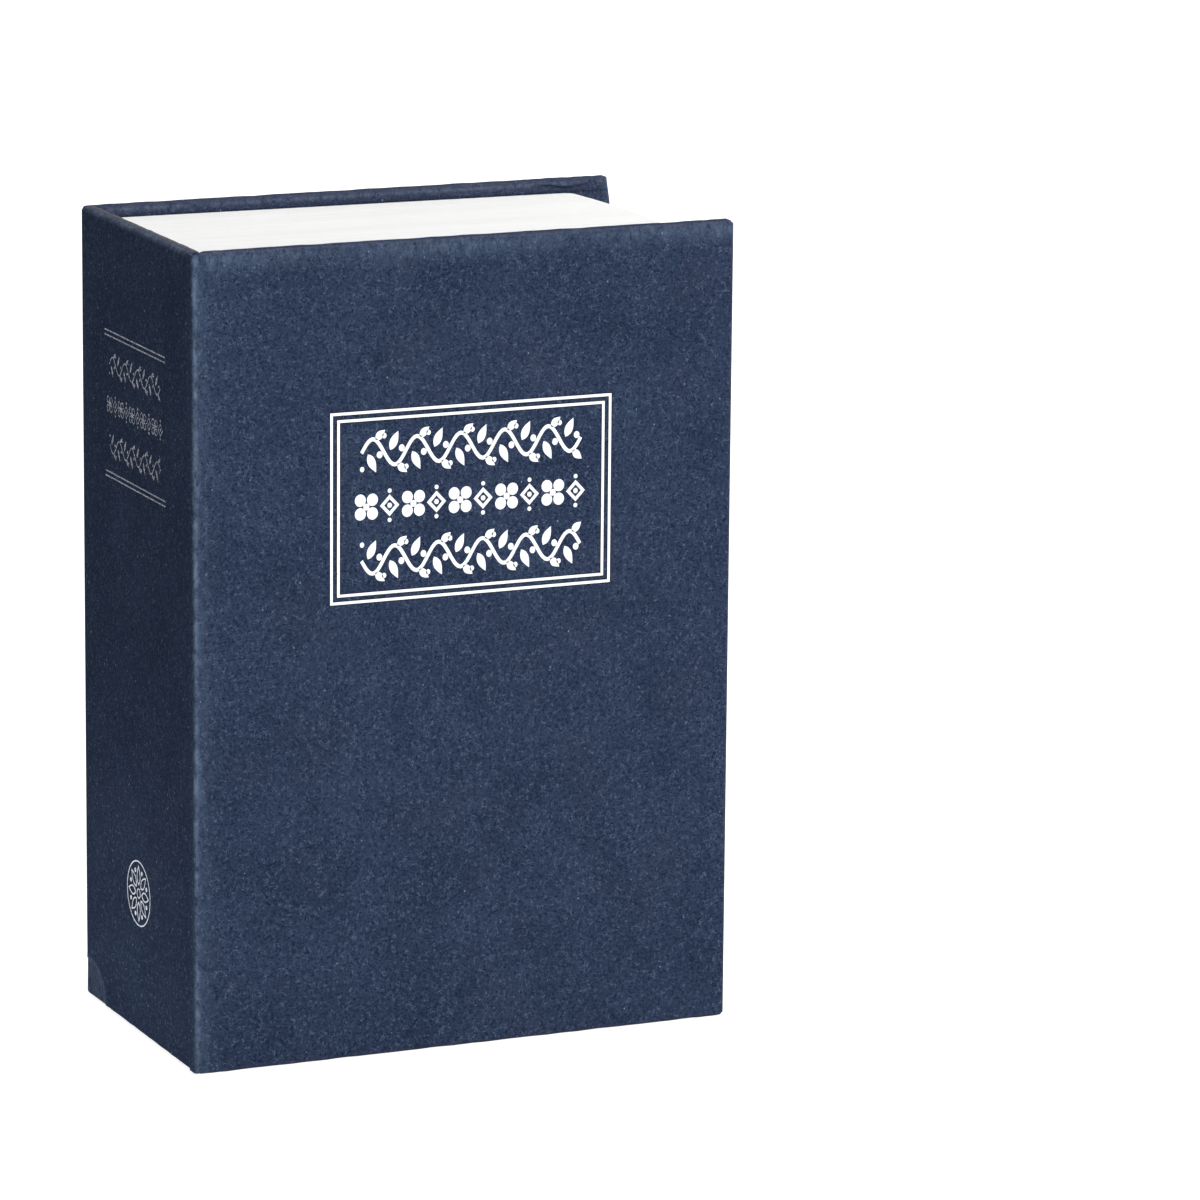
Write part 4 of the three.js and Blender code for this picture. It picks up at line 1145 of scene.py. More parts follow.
for node, body, dip, window_left in (
    ("front_endpaper", "front_cover", 0.3 * mm, case_low.x + case_wall + joint_lining),
    ("back_endpaper", "book_body", -0.1 * mm, case_low.x),
):
    paper_low, paper_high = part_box(node)
    window_right = case_high.x - turn_in
    window_bottom, window_top = turn_in, case_high.z - turn_in
    x, z = np.meshgrid(dipped_lines(paper_low.x, window_left, window_right, paper_high.x),
                       dipped_lines(paper_low.z, window_bottom, window_top, paper_high.z))
    share = 1.0
    for reach in (x - window_left, window_right - x, z - window_bottom, window_top - z):
        side = ramp(reach, 0, dip_run)
        share = share * side * side * (3 - 2 * side)
    bow = waves(z, (0.6, 0.07, 0))
    ripple = ripple_height * (np.sin(x / mm * 0.11 + bow) + waves(z, (1, 0.19, 1.3)))
    y = (paper_low.y + paper_high.y) / 2 - share * dip + share * ripple
    paper = sheet_piece(node + "_sheet", np.stack([x, y, z], axis=2), paper_thickness, endpaper_white)
    fitted(smoothed(paper, 60), body, "paper", node)


# Page block: a white plastic shell that looks like the edges of the leaves at head, fore-edge and
# tail, its end walls running on to the spine. Thin leaves stand a hair proud of it, all of one
# outline. The fore-edge swells a little, and the leaves' head rises by half a millimetre to the spine.
def page_finish():
    material, tree, surface = new_material("white_page_plastic")
    leaves = noise(tree, 1, (14, 2400, 14), detail=3.0, roughness=0.7)
    stacks = noise(tree, 1, (9, 330, 9), detail=2.0)
    mixed = computed(tree, "ADD", band(tree, leaves, 0.3, 0.7, 0, 0.6), band(tree, stacks, 0.3, 0.7, 0, 0.4))
    colour = blended(tree, mixed, (0.85, 0.85, 0.84), (0.94, 0.94, 0.935))
    set_inputs(tree, surface, {"Base Color": colour, "Roughness": 0.6, "Specular IOR Level": 0.3})
    relief(tree, surface, leaves, 0.03 * mm, 0.6)
    return material


def leaf_nodes():
    """Geometry Nodes: a leaf at every point. The point's own x is how far that leaf reaches."""
    tree = bpy.data.node_groups.new("leaves_of_a_block", "GeometryNodeTree")
    given = tree_inputs(tree, (("Geometry", "Geometry"), ("Leaf", "Object"), ("Foot", "Float"),
                               ("Unevenness", "Float"), ("Seed", "Int"), ("Material", "Material")))
    position = add_node(tree, "GeometryNodeInputPosition").outputs[0]
    place = add_node(tree, "ShaderNodeSeparateXYZ", {0: position}).outputs
    uneven = add_node(tree, "FunctionNodeRandomValue", {
        "Min": 0.0, "Max": given["Unevenness"], "Seed": given["Seed"],
    }, data_type="FLOAT").outputs["Value"]
    reach = computed(tree, "SUBTRACT", place[0], uneven)
    height = computed(tree, "SUBTRACT", place[2], uneven)
    size = add_node(tree, "ShaderNodeCombineXYZ", {0: reach, 1: 1.0, 2: height})
    kept = add_node(tree, "GeometryNodeCaptureAttribute", {"Geometry": given["Geometry"]})
    kept.capture_items.new("VECTOR", "Size")
    tree.links.new(size.outputs[0], kept.inputs["Size"])
    foot = add_node(tree, "ShaderNodeCombineXYZ", {0: given["Foot"], 1: place[1], 2: 0.0}).outputs[0]
    moved = add_node(tree, "GeometryNodeSetPosition", {"Geometry": kept.outputs[0], "Position": foot})
    return copies_at(tree, moved.outputs[0], given["Leaf"], kept.outputs["Size"], given["Material"])


page_white = page_finish()
dress("page_block", page_white)
page_low, page_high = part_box("page_block")
page_swell, page_corner = 1.8 * mm, 3 * mm
leaf_pitch, leaf_share = 0.31 * mm, 0.68
leaf_proud, leaf_rim, leaf_uneven, leaf_rise = 0.12 * mm, 1.2 * mm, 0.07 * mm, 0.5 * mm
leaf_seed = 3


def leaf_reach(y):
    """How far the fore-edge stands from the block's spine side, at a depth."""
    flat_end = page_high.x - page_swell
    from_side = min(y - page_low.y, page_high.y - y)
    if from_side < page_corner:
        share = math.sqrt(max(from_side, 0) / page_corner)
        place = flat_end - page_corner + page_corner * (2 * share - share * share)
    else:
        share = (y - page_low.y - page_corner) / (page_high.y - page_low.y - 2 * page_corner)
        place = flat_end + 4 * share * (1 - share) * page_swell
    return place + leaf_proud - page_low.x


# One leaf, as a U that is open to the spine, one long and one high
block_reach, block_height = page_high.x - page_low.x, page_high.z - page_low.z
rim_x, rim_z = leaf_rim / block_reach, leaf_rim / block_height
outer_u = [(0, -0.5), (1, -0.5), (1, 0.5), (0, 0.5 + leaf_rise / block_height)]
inner_u = [(0, rim_z - 0.5), (1 - rim_x, rim_z - 0.5), (1 - rim_x, 0.5 - rim_z), (0, 0.5 - rim_z)]
half_leaf = leaf_share * leaf_pitch / 2
u_points, u_faces = strip(outer_u, inner_u, -half_leaf, half_leaf)
page_leaf = new_piece("page_leaf_motif", [(u, -w, v) for u, v, w in u_points], u_faces)
leaf_count = int((page_high.y - page_low.y) / leaf_pitch)
leaf_places = [page_low.y + leaf_pitch * (i + 0.5) for i in range(leaf_count)]
leaf_height = block_height + 2 * leaf_proud
leaves = new_piece("page_leaves", [(leaf_reach(y), y, leaf_height) for y in leaf_places], [])
use_nodes(leaves, leaf_nodes(), {"Leaf": page_leaf, "Foot": page_low.x, "Unevenness": leaf_uneven,
                                 "Seed": leaf_seed, "Material": page_white})
settled(leaves)
leaves.data.transform(Matrix.Translation((0, 0, (page_low.z + page_high.z) / 2)))
fitted(leaves, "book_body", "page_plastic")
bpy.data.objects.remove(page_leaf)


# Steel box: an open tray folded from 1 mm sheet, welded at its corners and powder coated dark grey.
# The coat is a fine texture on flat faces and pulls up into a coarse hammered grain on rolled edges, whose
# pale flecks there are a painted highlight.
def coat_finish(name, roll_start, roll_end):
    """Dark grey coat: fine grain with pale sparks, coarse between two places along the width, where pale
    flecks paint a highlight.
    """
    material, tree, surface = new_material(name)
    across = add_node(tree, "ShaderNodeSeparateXYZ", {0: object_coordinates(tree)}).outputs[0]
    rolled = band(tree, across, roll_start, roll_end)
    fine = noise(tree, 2300, detail=3.0, roughness=0.6)
    coarse = noise(tree, 1600, detail=1.5, roughness=0.5)
    patches = noise(tree, 130, detail=2.0)
    colour = blended(tree, band(tree, fine, 0.3, 0.7), (0.036, 0.036, 0.038), (0.056, 0.056, 0.058))
    sparks = computed(tree, "MULTIPLY", specks(tree, 900.0, (1, 1, 1), 0.05, 0.17, 0.84, 0.95),
                      band(tree, patches, 0.4, 0.62))
    colour = blended(tree, sparks, colour, (0.24, 0.24, 0.24))
    # Painted highlight: pale coarse grain on the rolled edge
    rolled_grain_highlight = computed(tree, "MULTIPLY", rolled, band(tree, coarse, 0.4, 0.68))
    colour = blended(tree, rolled_grain_highlight, colour, (0.13, 0.13, 0.13))
    set_inputs(tree, surface, {"Base Color": colour, "Roughness": 0.48, "Specular IOR Level": 0.4})
    height = computed(tree, "ADD", computed(tree, "MULTIPLY", fine, 0.35),
                      computed(tree, "MULTIPLY", coarse, rolled))
    relief(tree, surface, height, 0.12 * mm)
    return material


def bevelled(piece, width, degrees=40):
    bevel = piece.modifiers.new("edges", "BEVEL")
    bevel.width = width
    bevel.segments = 2
    bevel.limit_method = "ANGLE"
    bevel.angle_limit = math.radians(degrees)
    return piece


def softened(node, material, width):
    """A CAD node dressed, with its facets joined and its edges broken by a small bevel."""
    piece = dress(node, material)
    weld = piece.modifiers.new("weld", "WELD")
    weld.merge_threshold = weld_gap
    flat = piece.modifiers.new("flat_faces", "DECIMATE")
    flat.decimate_type = "DISSOLVE"
    flat.angle_limit = math.radians(1)
    return bevelled(piece, width)


lid_low, lid_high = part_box("lid_panel")
box_coat = coat_finish("textured_coat", lid_high.x, lid_high.x + mm)
softened("steel_box", box_coat, 0.3 * mm)


# Lid: one steel sheet that steps down to a land for the lock, its fore-edge rolled down into a flange.
# It is punched for the lock's flatted barrel and for the rivets of its two hinge leaves.
def rounded_line(corners, radius, steps, closed=False):
    """A line through corners, each but the open ends turned on an arc of one radius."""
    corners = [Vector(c) for c in corners]
    line = []
    for i, here in enumerate(corners):
        if not closed and i in (0, len(corners) - 1):
            line.append(tuple(here))
            continue
        before = (corners[i - 1] - here).normalized()
        after = (corners[(i + 1) % len(corners)] - here).normalized()
        half = before.angle(after) / 2
        centre = here + (before + after).normalized() * radius / math.sin(half)
        start = here + before * radius / math.tan(half) - centre
        end = here + after * radius / math.tan(half) - centre
        turn = start.angle_signed(end)
        for k in range(steps + 1):
            line.append(tuple(centre + Matrix.Rotation(-turn * k / steps, 2) @ start))
    return line


def prism(bottom, low, high, top=None):
    """A closed solid between an outline and the same or another one above it."""
    top = top or bottom
    count = len(bottom)
    points = [(u, v, low) for u, v in bottom] + [(u, v, high) for u, v in top]
    faces = [tuple(range(count))[::-1], tuple(range(count, 2 * count))]
    faces += [(i, (i + 1) % count, count + (i + 1) % count, count + i) for i in range(count)]
    return points, faces


def circle(radius, u=0.0, v=0.0, steps=48):
    angles = [2 * math.pi * (i + 0.5) / steps for i in range(steps)]
    return [(u + radius * math.cos(a), v + radius * math.sin(a)) for a in angles]


def box_part(low, high):
    """A block between two corners."""
    outline = [(low[0], low[1]), (high[0], low[1]), (high[0], high[1]), (low[0], high[1])]
    return prism(outline, low[2], high[2])


def cut(piece, cutters, operation="DIFFERENCE"):
    """Takes cutters out of a piece, or adds them to it, and removes them."""
    for cutter in cutters:
        step = piece.modifiers.new("cut", "BOOLEAN")
        step.operation = operation
        step.object = cutter
    settled(piece)
    for cutter in cutters:
        bpy.data.objects.remove(cutter)
    return piece


def edged(piece, width, degrees=40):
    """Edges broken by a small bevel, and flat faces left flat."""
    return smoothed(settled(bevelled(piece, width, degrees)), 20)


def facing(x, y, z):
    """Stands a shape on an axis along Y: its u runs along Z, its v along X and its height along Y."""
    return Matrix(((0, 1, 0, x), (0, 0, 1, y), (1, 0, 0, z), (0, 0, 0, 1)))


def middle_of(node):
    low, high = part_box(node)
    return [(low[k] + high[k]) / 2 for k in range(3)]


sheet = 1 * mm
land_y = lid_high.y - 6 * mm
land_left = lid_high.x - 44 * mm
slope_run = 8 * mm
bend_radius, roll_radius = 1.6 * mm, 2.5 * mm
roll_coat_start, roll_coat_end = lid_high.x - 3.4 * mm, lid_high.x - 2.2 * mm
middle = sheet / 2
corner_shift = middle * math.tan(math.atan2(land_y - lid_low.y, slope_run) / 2)
lid_bends = [
    (lid_low.x, lid_low.y + middle), (land_left - slope_run - corner_shift, lid_low.y + middle),
    (land_left - corner_shift, land_y + middle), (lid_high.x - middle, land_y + middle),
    (lid_high.x - middle, lid_high.y),
]
soft_line = rounded_line(lid_bends[:4], bend_radius, 8)[:-1]
rolled_edge = rounded_line(lid_bends[2:], roll_radius, 16)[1:]
heights = even_lines(lid_low.z, lid_high.z)
lid_grid = np.array([[(x, y, z) for z in heights] for x, y in soft_line + rolled_edge])
lid_coat = coat_finish("textured_coat_with_roll", roll_coat_start, roll_coat_end)
lid_sheet = sheet_piece("lid_sheet", lid_grid, sheet, lid_coat)
lock_x, _, lock_z = middle_of("lock_housing")
lock_frame = facing(lock_x, land_y, lock_z)
barrel, flats, barrel_gap = 9, 8, 0.3
rivet_hole = 1.4
flat_hole = flats + barrel_gap
hole = [(u, max(-flat_hole, min(flat_hole, v))) for u, v in circle(barrel + barrel_gap, steps=96)]
lid_cutters = [solid_piece("lock_hole", prism(hole, -2, 3), lock_frame)]
for i in (1, 2, 3, 4):
    rivet_place = facing(*Vector(middle_of(f"lid_rivet_{i}")))
    lid_cutters.append(solid_piece("rivet_hole", prism(circle(rivet_hole), -3, 3), rivet_place))
cut(lid_sheet, lid_cutters)
edged(lid_sheet, 0.2 * mm, 50)
fitted(lid_sheet, "lid", "textured_paint", "lid_panel")


# Butt hinges: each leaf is zinc-plated strip with notched knuckles rolled round the pin.
# One leaf is riveted to the box wall and the other under the lid.
def metal_finish(name, base, roughness, variation=0.08, scale=60, stretch=(1, 1, 1), depth=0.0):
    """Bare or plated metal with faint clouds in its roughness and colour, and fine marks."""
    material, tree, surface = new_material(name)
    clouds = noise(tree, scale, stretch, detail=4.0, roughness=0.6)
    darker = tuple(0.82 * c for c in base)
    set_inputs(tree, surface, {
        "Base Color": blended(tree, band(tree, clouds, 0.3, 0.7), darker, base),
        "Roughness": band(tree, clouds, 0.3, 0.7, roughness + variation, roughness),
        "Metallic": 1,
    })
    if depth:
        relief(tree, surface, noise(tree, scale * 9, stretch, detail=3.0), depth, 0.6)
    return material


zinc = metal_finish("zinc_plate", (0.56, 0.57, 0.585), 0.3, 0.16, 170, depth=0.02 * mm)
hinge_length, knuckle_count, knuckle_gap = 30, 5, 0.3
knuckle_radius, leaf_thickness = 1.8, 0.8
roll_middle = knuckle_radius - leaf_thickness / 2
neck = knuckle_radius + 0.3
curl_turn, curl_steps = 330, 28
rivet_height = 9
pin_low, pin_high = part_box("hinge_pin_lower")
hinge_x, hinge_y, lower_height = middle_of("hinge_pin_lower")
hinge_heights = [lower_height, middle_of("hinge_pin_upper")[2]]


def hinge_leaf(name, width, own, turn, height, rivet_reach):
    """A leaf whose plate runs out from under its knuckles, turned about the pin."""
    line = [(width, -roll_middle)] + [(a, -roll_middle) for a in (neck, neck / 2)]
    plate_end = 1
    for i in range(curl_steps + 1):
        angle = -math.pi / 2 - math.radians(curl_turn) * i / curl_steps
        line.append((roll_middle * math.cos(angle), roll_middle * math.sin(angle)))
    pitch = hinge_length / knuckle_count
    heights = []
    for i in range(knuckle_count):
        start = i * pitch - hinge_length / 2
        heights += [start + knuckle_gap / 2, start + pitch - knuckle_gap / 2]
    heights[0] = -hinge_length / 2
    heights[-1] = hinge_length / 2
    grid = np.array([[(a, b, z) for z in heights] for a, b in line]) * mm
    leaf_piece = sheet_piece(name, grid, leaf_thickness * mm, zinc,
                             lambda i, j: i < plate_end or (j % 2 == 0 and j // 2 in own))
    holes = [solid_piece("hole", prism(circle(rivet_hole, z, rivet_reach), -4, 4), facing(0, 0, 0))
             for z in (-rivet_height, rivet_height)]
    cut(leaf_piece, holes)
    edged(leaf_piece, 0.12 * mm)
    leaf_piece.data.transform(Matrix.Translation((hinge_x, hinge_y, height)) @ Matrix.Rotation(turn, 4, "Z"))
    return leaf_piece


def joined_smooth(name, pieces, degrees=20):
    return smoothed(joined(name, pieces), degrees)


box_leaves = [hinge_leaf("box_leaf", 11, (0, 2, 4), math.pi / 2, z, 6.5) for z in hinge_heights]
fitted(joined_smooth("box_hinge_leaves", box_leaves), "book_body", "zinc_steel",
       "box_hinge_leaf_lower", "box_hinge_leaf_upper")
lid_leaves = [hinge_leaf("lid_leaf", 13, (1, 3), 0, z, 9) for z in hinge_heights]
fitted(joined_smooth("lid_hinge_leaves", lid_leaves), "lid", "zinc_steel",
       "lid_hinge_leaf_lower", "lid_hinge_leaf_upper")


def turned_part(profile, steps=64, shaped=None):
    """A turned solid, from radii and heights that run round its section or from pole to pole."""
    points, faces = [], []
    count = len(profile)
    for i in range(steps):
        angle = 2 * math.pi * i / steps
        for radius, height in profile:
            if shaped:
                points.append(shaped(radius, height, angle))
            else:
                points.append((radius * math.cos(angle), radius * math.sin(angle), height))
    for i in range(steps):
        for j in range(count - 1):
            a, b = i * count + j, (i + 1) % steps * count + j
            faces.append((a, b, b + 1, a + 1))
    return points, faces


# Each pin has a small set head at both ends
pin_half = (pin_high.z - pin_low.z) / 2 / mm
pin_head = ((0, 0), (0.9, 0.1), (1.4, 0.3), (1.6, 0.55), (1.6, 0.75), (1.5, 0.8), (0.9, 0.8))
pin_profile = [(radius, pin_half - drop) for radius, drop in pin_head]
pin_profile += [(r, -h) for r, h in reversed(pin_profile)]
pins = [solid_piece("pin", turned_part(pin_profile, 32), Matrix.Translation((hinge_x, hinge_y, z)), zinc)
        for z in hinge_heights]
fitted(joined_smooth("hinge_pins", pins, 35), "book_body", "zinc_steel", "hinge_pin_lower", "hinge_pin_upper")


# Rivets: steel, zinc plated, with a factory head on one side and a set one on the other.
# Four hold the hinge leaves to the box, four hold them to the lid, and two hold the strike.
head_radius, head_height, shank_radius = 2, 0.7, 1.1
dome = ((0, 1), (0.3, 0.975), (0.55, 0.9), (0.75, 0.76), (0.9, 0.52), (0.98, 0.24), (1, 0))


def rivets(name, body, nodes, along):
    """The rivets of several nodes, in rows of two, each row by Geometry Nodes."""
    lows, highs = zip(*(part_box(node) for node in nodes))
    middles = [(low + high) / 2 for low, high in zip(lows, highs)]
    axis = "XY".index(along)
    grip = (highs[0][axis] - lows[0][axis]) / 2 / mm - head_height
    profile = [(head_radius * r, grip + head_height * h) for r, h in dome] + [(shank_radius, grip)]
    profile += [(r, -h) for r, h in reversed(profile)]
    turn = Matrix.Rotation(math.pi / 2, 4, "YX"[axis])
    points, faces = turned_part(profile, 32)
    motif = new_piece("rivet_motif", [turn @ Vector(p) for p in points], faces)
    rows = []
    for first, second in zip(middles[::2], middles[1::2]):
        step = (second - first) / mm
        rows.append(row_of(motif, 2, step, first / mm, (1, 1, 1), Matrix.Identity(4), zinc))
    bpy.data.objects.remove(motif)
    whole = joined(name, rows)
    reshaped(whole.data, welded_outward)
    fitted(smoothed(whole, 35), body, "zinc_steel", *nodes)


rivets("box_rivets", "book_body", [f"box_rivet_{i}" for i in (1, 2, 3, 4)], "X")
rivets("lid_rivets", "lid", [f"lid_rivet_{i}" for i in (1, 2, 3, 4)], "Y")
rivets("strike_rivets", "book_body", ["strike_rivet_1", "strike_rivet_2"], "X")


# Strike: an angle of zinc-plated strip inside the fore-edge wall, bent over a small radius.
# The cam turns behind its lip.
softened("strike_plate", zinc, 0.25 * mm)


# Cam lock: a die-cast barrel with a turned, chromed bezel, clamped to the lid by a washer and a nut.
# The barrel has a coarse thread, milled flat on two sides so that it can't turn in the lid.
def turned_marks(tree, surface, ring_step):
    """Fine rings round the lock's axis, as a lathe leaves them."""
    place = add_node(tree, "ShaderNodeTexCoord").outputs["Object"]
    centred = add_node(tree, "ShaderNodeVectorMath", {0: place, 1: (-lock_x, 0, -lock_z)}, operation="ADD")
    flat = add_node(tree, "ShaderNodeVectorMath", {0: centred.outputs[0], 1: (1, 0, 1)}, operation="MULTIPLY")
    radius = add_node(tree, "ShaderNodeVectorMath", {0: flat.outputs[0]}, operation="LENGTH").outputs["Value"]
    rings = computed(tree, "SINE", computed(tree, "MULTIPLY", radius, 2 * math.pi / ring_step))
    relief(tree, surface, band(tree, rings, -1, 1), 0.004 * mm)


def chrome_finish():
    material, tree, surface = new_material("chrome_plate")
    clouds = noise(tree, 240, detail=3.0)
    set_inputs(tree, surface, {
        "Base Color": blended(tree, clouds, (0.46, 0.47, 0.48), (0.6, 0.61, 0.62)),
        "Roughness": band(tree, clouds, 0.35, 0.65, 0.05, 0.11),
        "Metallic": 1,
    })
    turned_marks(tree, surface, 0.22 * mm)
    return material


chrome = chrome_finish()
thread_pitch, thread_depth, thread_half = 1.0, 0.45, 0.38
thread_start, thread_end, thread_fade = 0.6, 14.4, 0.5


def threaded(radius, height, angle):
    """The barrel's surface: a thread cut into it, then milled flat on two sides."""
    if abs(radius - barrel) < 0.001:
        phase = (height / thread_pitch - angle / (2 * math.pi)) % 1
        fade = max(0, min(1, (height - thread_start) / thread_fade, (thread_end - height) / thread_fade))
        radius -= thread_depth * fade * max(0, 1 - abs(phase - 0.5) / thread_half)
    u, v = radius * math.cos(angle), radius * math.sin(angle)
    if height > -0.05 and radius > flats:
        v = max(-flats, min(flats, v))
    return u, v, height


def depths(node):
    """Where a CAD node starts and ends along the lock, in millimetres from the lid's land."""
    return [(corner.y - land_y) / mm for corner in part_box(node)]


def lock_piece(name, profile, steps, shaped, material):
    return solid_piece(name, turned_part(profile, steps, shaped), lock_frame, material)


bore, recess, recess_floor, body_end = 6.8, 7.9, -1.9, 15
bezel_radius, bezel_front, bezel_slope, bezel_rim, bezel_back = 11.5, -3.5, 8.6, -0.75, -0.1
bezel_line = rounded_line([
    (recess, recess_floor), (recess, bezel_front), (bezel_slope, bezel_front), (bezel_radius, bezel_rim),
    (bezel_radius, bezel_back), (barrel, bezel_back),
], 0.16, 3)
barrel_rows = [(barrel, i / 8) for i in range(8 * body_end + 1)]
housing_profile = [(bore, body_end), (bore, recess_floor)] + bezel_line + barrel_rows + [(bore, body_end)]
housing = lock_piece("housing", housing_profile, 128, threaded, chrome)

# A lug on the barrel's end stops the stop washer
lug_angles = [math.radians(a) for a in range(-58, -27, 5)]
lug_edges = [[(radius * math.cos(a), radius * math.sin(a)) for a in lug_angles] for radius in (8, 7.2)]
lug = solid_piece("lug", strip(*lug_edges, body_end - 0.3, body_end + 0.7), lock_frame, chrome)
fitted(joined_smooth("lock_housing_threaded", [housing, lug], 30), "lid", "chrome", "lock_housing")

washer_hole, washer_radius = 9.3, 11.5
washer_start, washer_end = depths("lock_washer")
washer_profile = rounded_line([(washer_hole, washer_start), (washer_radius, washer_start),
                               (washer_radius, washer_end), (washer_hole, washer_end)], 0.15, 2, closed=True)
washer = lock_piece("lock_washer_turned", washer_profile + washer_profile[:1], 96, None, zinc)
fitted(smoothed(washer, 30), "lid", "zinc_steel", "lock_washer")

# The nut's corners are chamfered on both faces, and so is the mouth of its bore
brass = metal_finish("plain_brass", (0.6, 0.44, 0.19), 0.26, 0.12, 210, depth=0.015 * mm)
nut_start, nut_end = depths("lock_nut")
nut_flat, nut_bore, nut_mouth = 11, 9.3, 9.6
nut_chamfer, chamfer_steps = 0.96 * nut_flat, 6
flat_angle = math.radians(60)


def hexagonal(radius, height, angle):
    """Clamps a turned shape to the nut's six flats."""
    within = (angle + flat_angle / 2) % flat_angle - flat_angle / 2
    if radius > nut_flat * 0.9:
        radius = min(radius, nut_flat / math.cos(flat_angle / 2 - abs(within)))
    return radius * math.cos(angle), radius * math.sin(angle), height


chamfer_run = nut_flat / math.cos(flat_angle / 2) - nut_chamfer
chamfer_rise = chamfer_run * math.tan(math.radians(30))
nut_side = [(nut_bore, 0.3), (nut_mouth, 0)]
nut_side += [(nut_chamfer + chamfer_run * k / chamfer_steps, chamfer_rise * k / chamfer_steps)
             for k in range(chamfer_steps + 1)]
nut_profile = [(r, nut_start + h) for r, h in nut_side] + [(r, nut_end - h) for r, h in reversed(nut_side)]
nut = lock_piece("lock_nut_chamfered", nut_profile + nut_profile[:1], 120, hexagonal, brass)
fitted(smoothed(nut, 25), "lid", "brass", "lock_nut")


# Plug: a nickel-plated cylinder with its keyway, slots for four brass wafers and a square tail.
# The cam, its quarter-turn stop washer and a screw are fixed to the tail.
def nickel_finish(name, dark, light, turned=False):
    material, tree, surface = new_material(name)
    brushed = noise(tree, 1, (130, 2600, 2600), detail=3.0, roughness=0.6)
    set_inputs(tree, surface, {
        "Base Color": blended(tree, band(tree, brushed, 0.3, 0.7), dark, light),
        "Roughness": band(tree, brushed, 0.3, 0.7, 0.16, 0.3),
        "Metallic": 1,
    })
    if turned:
        turned_marks(tree, surface, 0.3 * mm)
    else:
        relief(tree, surface, brushed, 0.01 * mm, 0.5)
    return material


plug_nickel = nickel_finish("turned_nickel", (0.13, 0.13, 0.135), (0.2, 0.2, 0.205), True)
plug_radius, plug_end, tail_half, tail_bore, tail_bore_depth = 6.5, 15.3, 3, 1.6, 7.3
face_radius, face_front, face_back = 7.6, -3.1, -2.2
slot_half, slot_gap = 3.3, 0.3
tail_end = depths("lock_plug")[1]
plug_line = rounded_line([(0, face_front), (face_radius, face_front), (face_radius, face_back),
                          (plug_radius, face_back), (plug_radius, plug_end), (0, plug_end)], 0.22, 3)
plug = lock_piece("lock_plug_turned", plug_line, 96, None, plug_nickel)
tail = box_part((-tail_half, -tail_half, plug_end - 0.3), (tail_half, tail_half, tail_end))
cut(plug, [solid_piece("tail", tail, lock_frame)], "UNION")

# The keyway is warded by a step on each side
key_wide, key_narrow = 1.1, 0.7
keyway = [(-4.1, -key_wide), (-1.9, -key_wide), (-1.9, -key_narrow), (-0.9, -key_narrow), (-0.9, -key_wide),
          (4.1, -key_wide)]
keyway += [(-u, -v) for u, v in keyway]
bore_start = tail_end - tail_bore_depth
plug_cutters = [
    solid_piece("keyway", prism(keyway, -4, 13.9), lock_frame),
    solid_piece("bore", prism(circle(tail_bore, steps=32), bore_start, tail_end + 1), lock_frame),
]
for i in (1, 2, 3, 4):
    wafer_start, wafer_end = depths(f"wafer_{i}")
    slot = box_part((-face_radius, -slot_half, wafer_start - slot_gap),
                    (face_radius, slot_half, wafer_end + slot_gap))
    plug_cutters.append(solid_piece("slot", slot, lock_frame))
    softened(f"wafer_{i}", brass, 0.08 * mm)
cut(plug, plug_cutters)
fitted(smoothed(plug, 25), "lock_rotor", "nickel", "lock_plug")
softened("stop_washer", zinc, 0.12 * mm)
softened("cam", zinc, 0.3 * mm)

# Cam screw: a slotted pan head on a short threaded shank
screw_tip, screw_shank, pan_radius, pan_round, slot_width, slot_depth = 1.0, 1.3, 4.4, 1.0, 0.9, 0.9
screw_low, screw_high = depths("cam_screw")
head_start = screw_high - 1.8
round_start = head_start + 0.8
screw_profile = [(0, screw_low), (screw_tip, screw_low), (screw_shank, screw_low + 0.4),
                 (screw_shank, head_start), (pan_radius - 0.2, head_start), (pan_radius, head_start + 0.2),
                 (pan_radius, round_start)]
for k in range(1, 7):
    angle = math.radians(15 * k)
    radius = pan_radius - pan_round * (1 - math.cos(angle))
    screw_profile.append((radius, round_start + pan_round * math.sin(angle)))
screw_profile.append((0, screw_high))
screw = lock_piece("cam_screw_slotted", screw_profile, 64, None, zinc)
screw_slot = box_part((-slot_width / 2, -5, screw_high - slot_depth), (slot_width / 2, 5, screw_high + 1))
cut(screw, [solid_piece("slot", screw_slot, lock_frame)])
fitted(smoothed(screw, 25), "lock_rotor", "zinc_steel", "cam_screw")


# Keys: two nickel-plated blades with cuts along both edges, each moulded into a black plastic head.
# They lie on the tail wall of the box, one on the other, with their split ring through both heads.
key_nickel = nickel_finish("satin_nickel", (0.6, 0.58, 0.54), (0.74, 0.72, 0.68))
head_length, blade_length, blade_root, blade_width = 26, 28, 8, 7.6
blade_low, blade_high = 0.6, 2.2
upper_cut_shares = [
    (0, 1), (0.22, 1), (0.3, 0.62), (0.36, 0.62), (0.42, 0.84), (0.48, 0.84), (0.54, 0.55), (0.62, 0.55),
    (0.68, 0.8), (0.74, 0.8), (0.8, 0.66), (0.88, 0.66), (1, 0.2)]
lower_cut_shares = [
    (0, 1), (0.26, 1), (0.33, 0.74), (0.4, 0.74), (0.46, 0.6), (0.54, 0.6), (0.6, 0.82), (0.66, 0.82),
    (0.72, 0.64), (0.84, 0.64), (0.9, 0.72), (1, 0.2)]


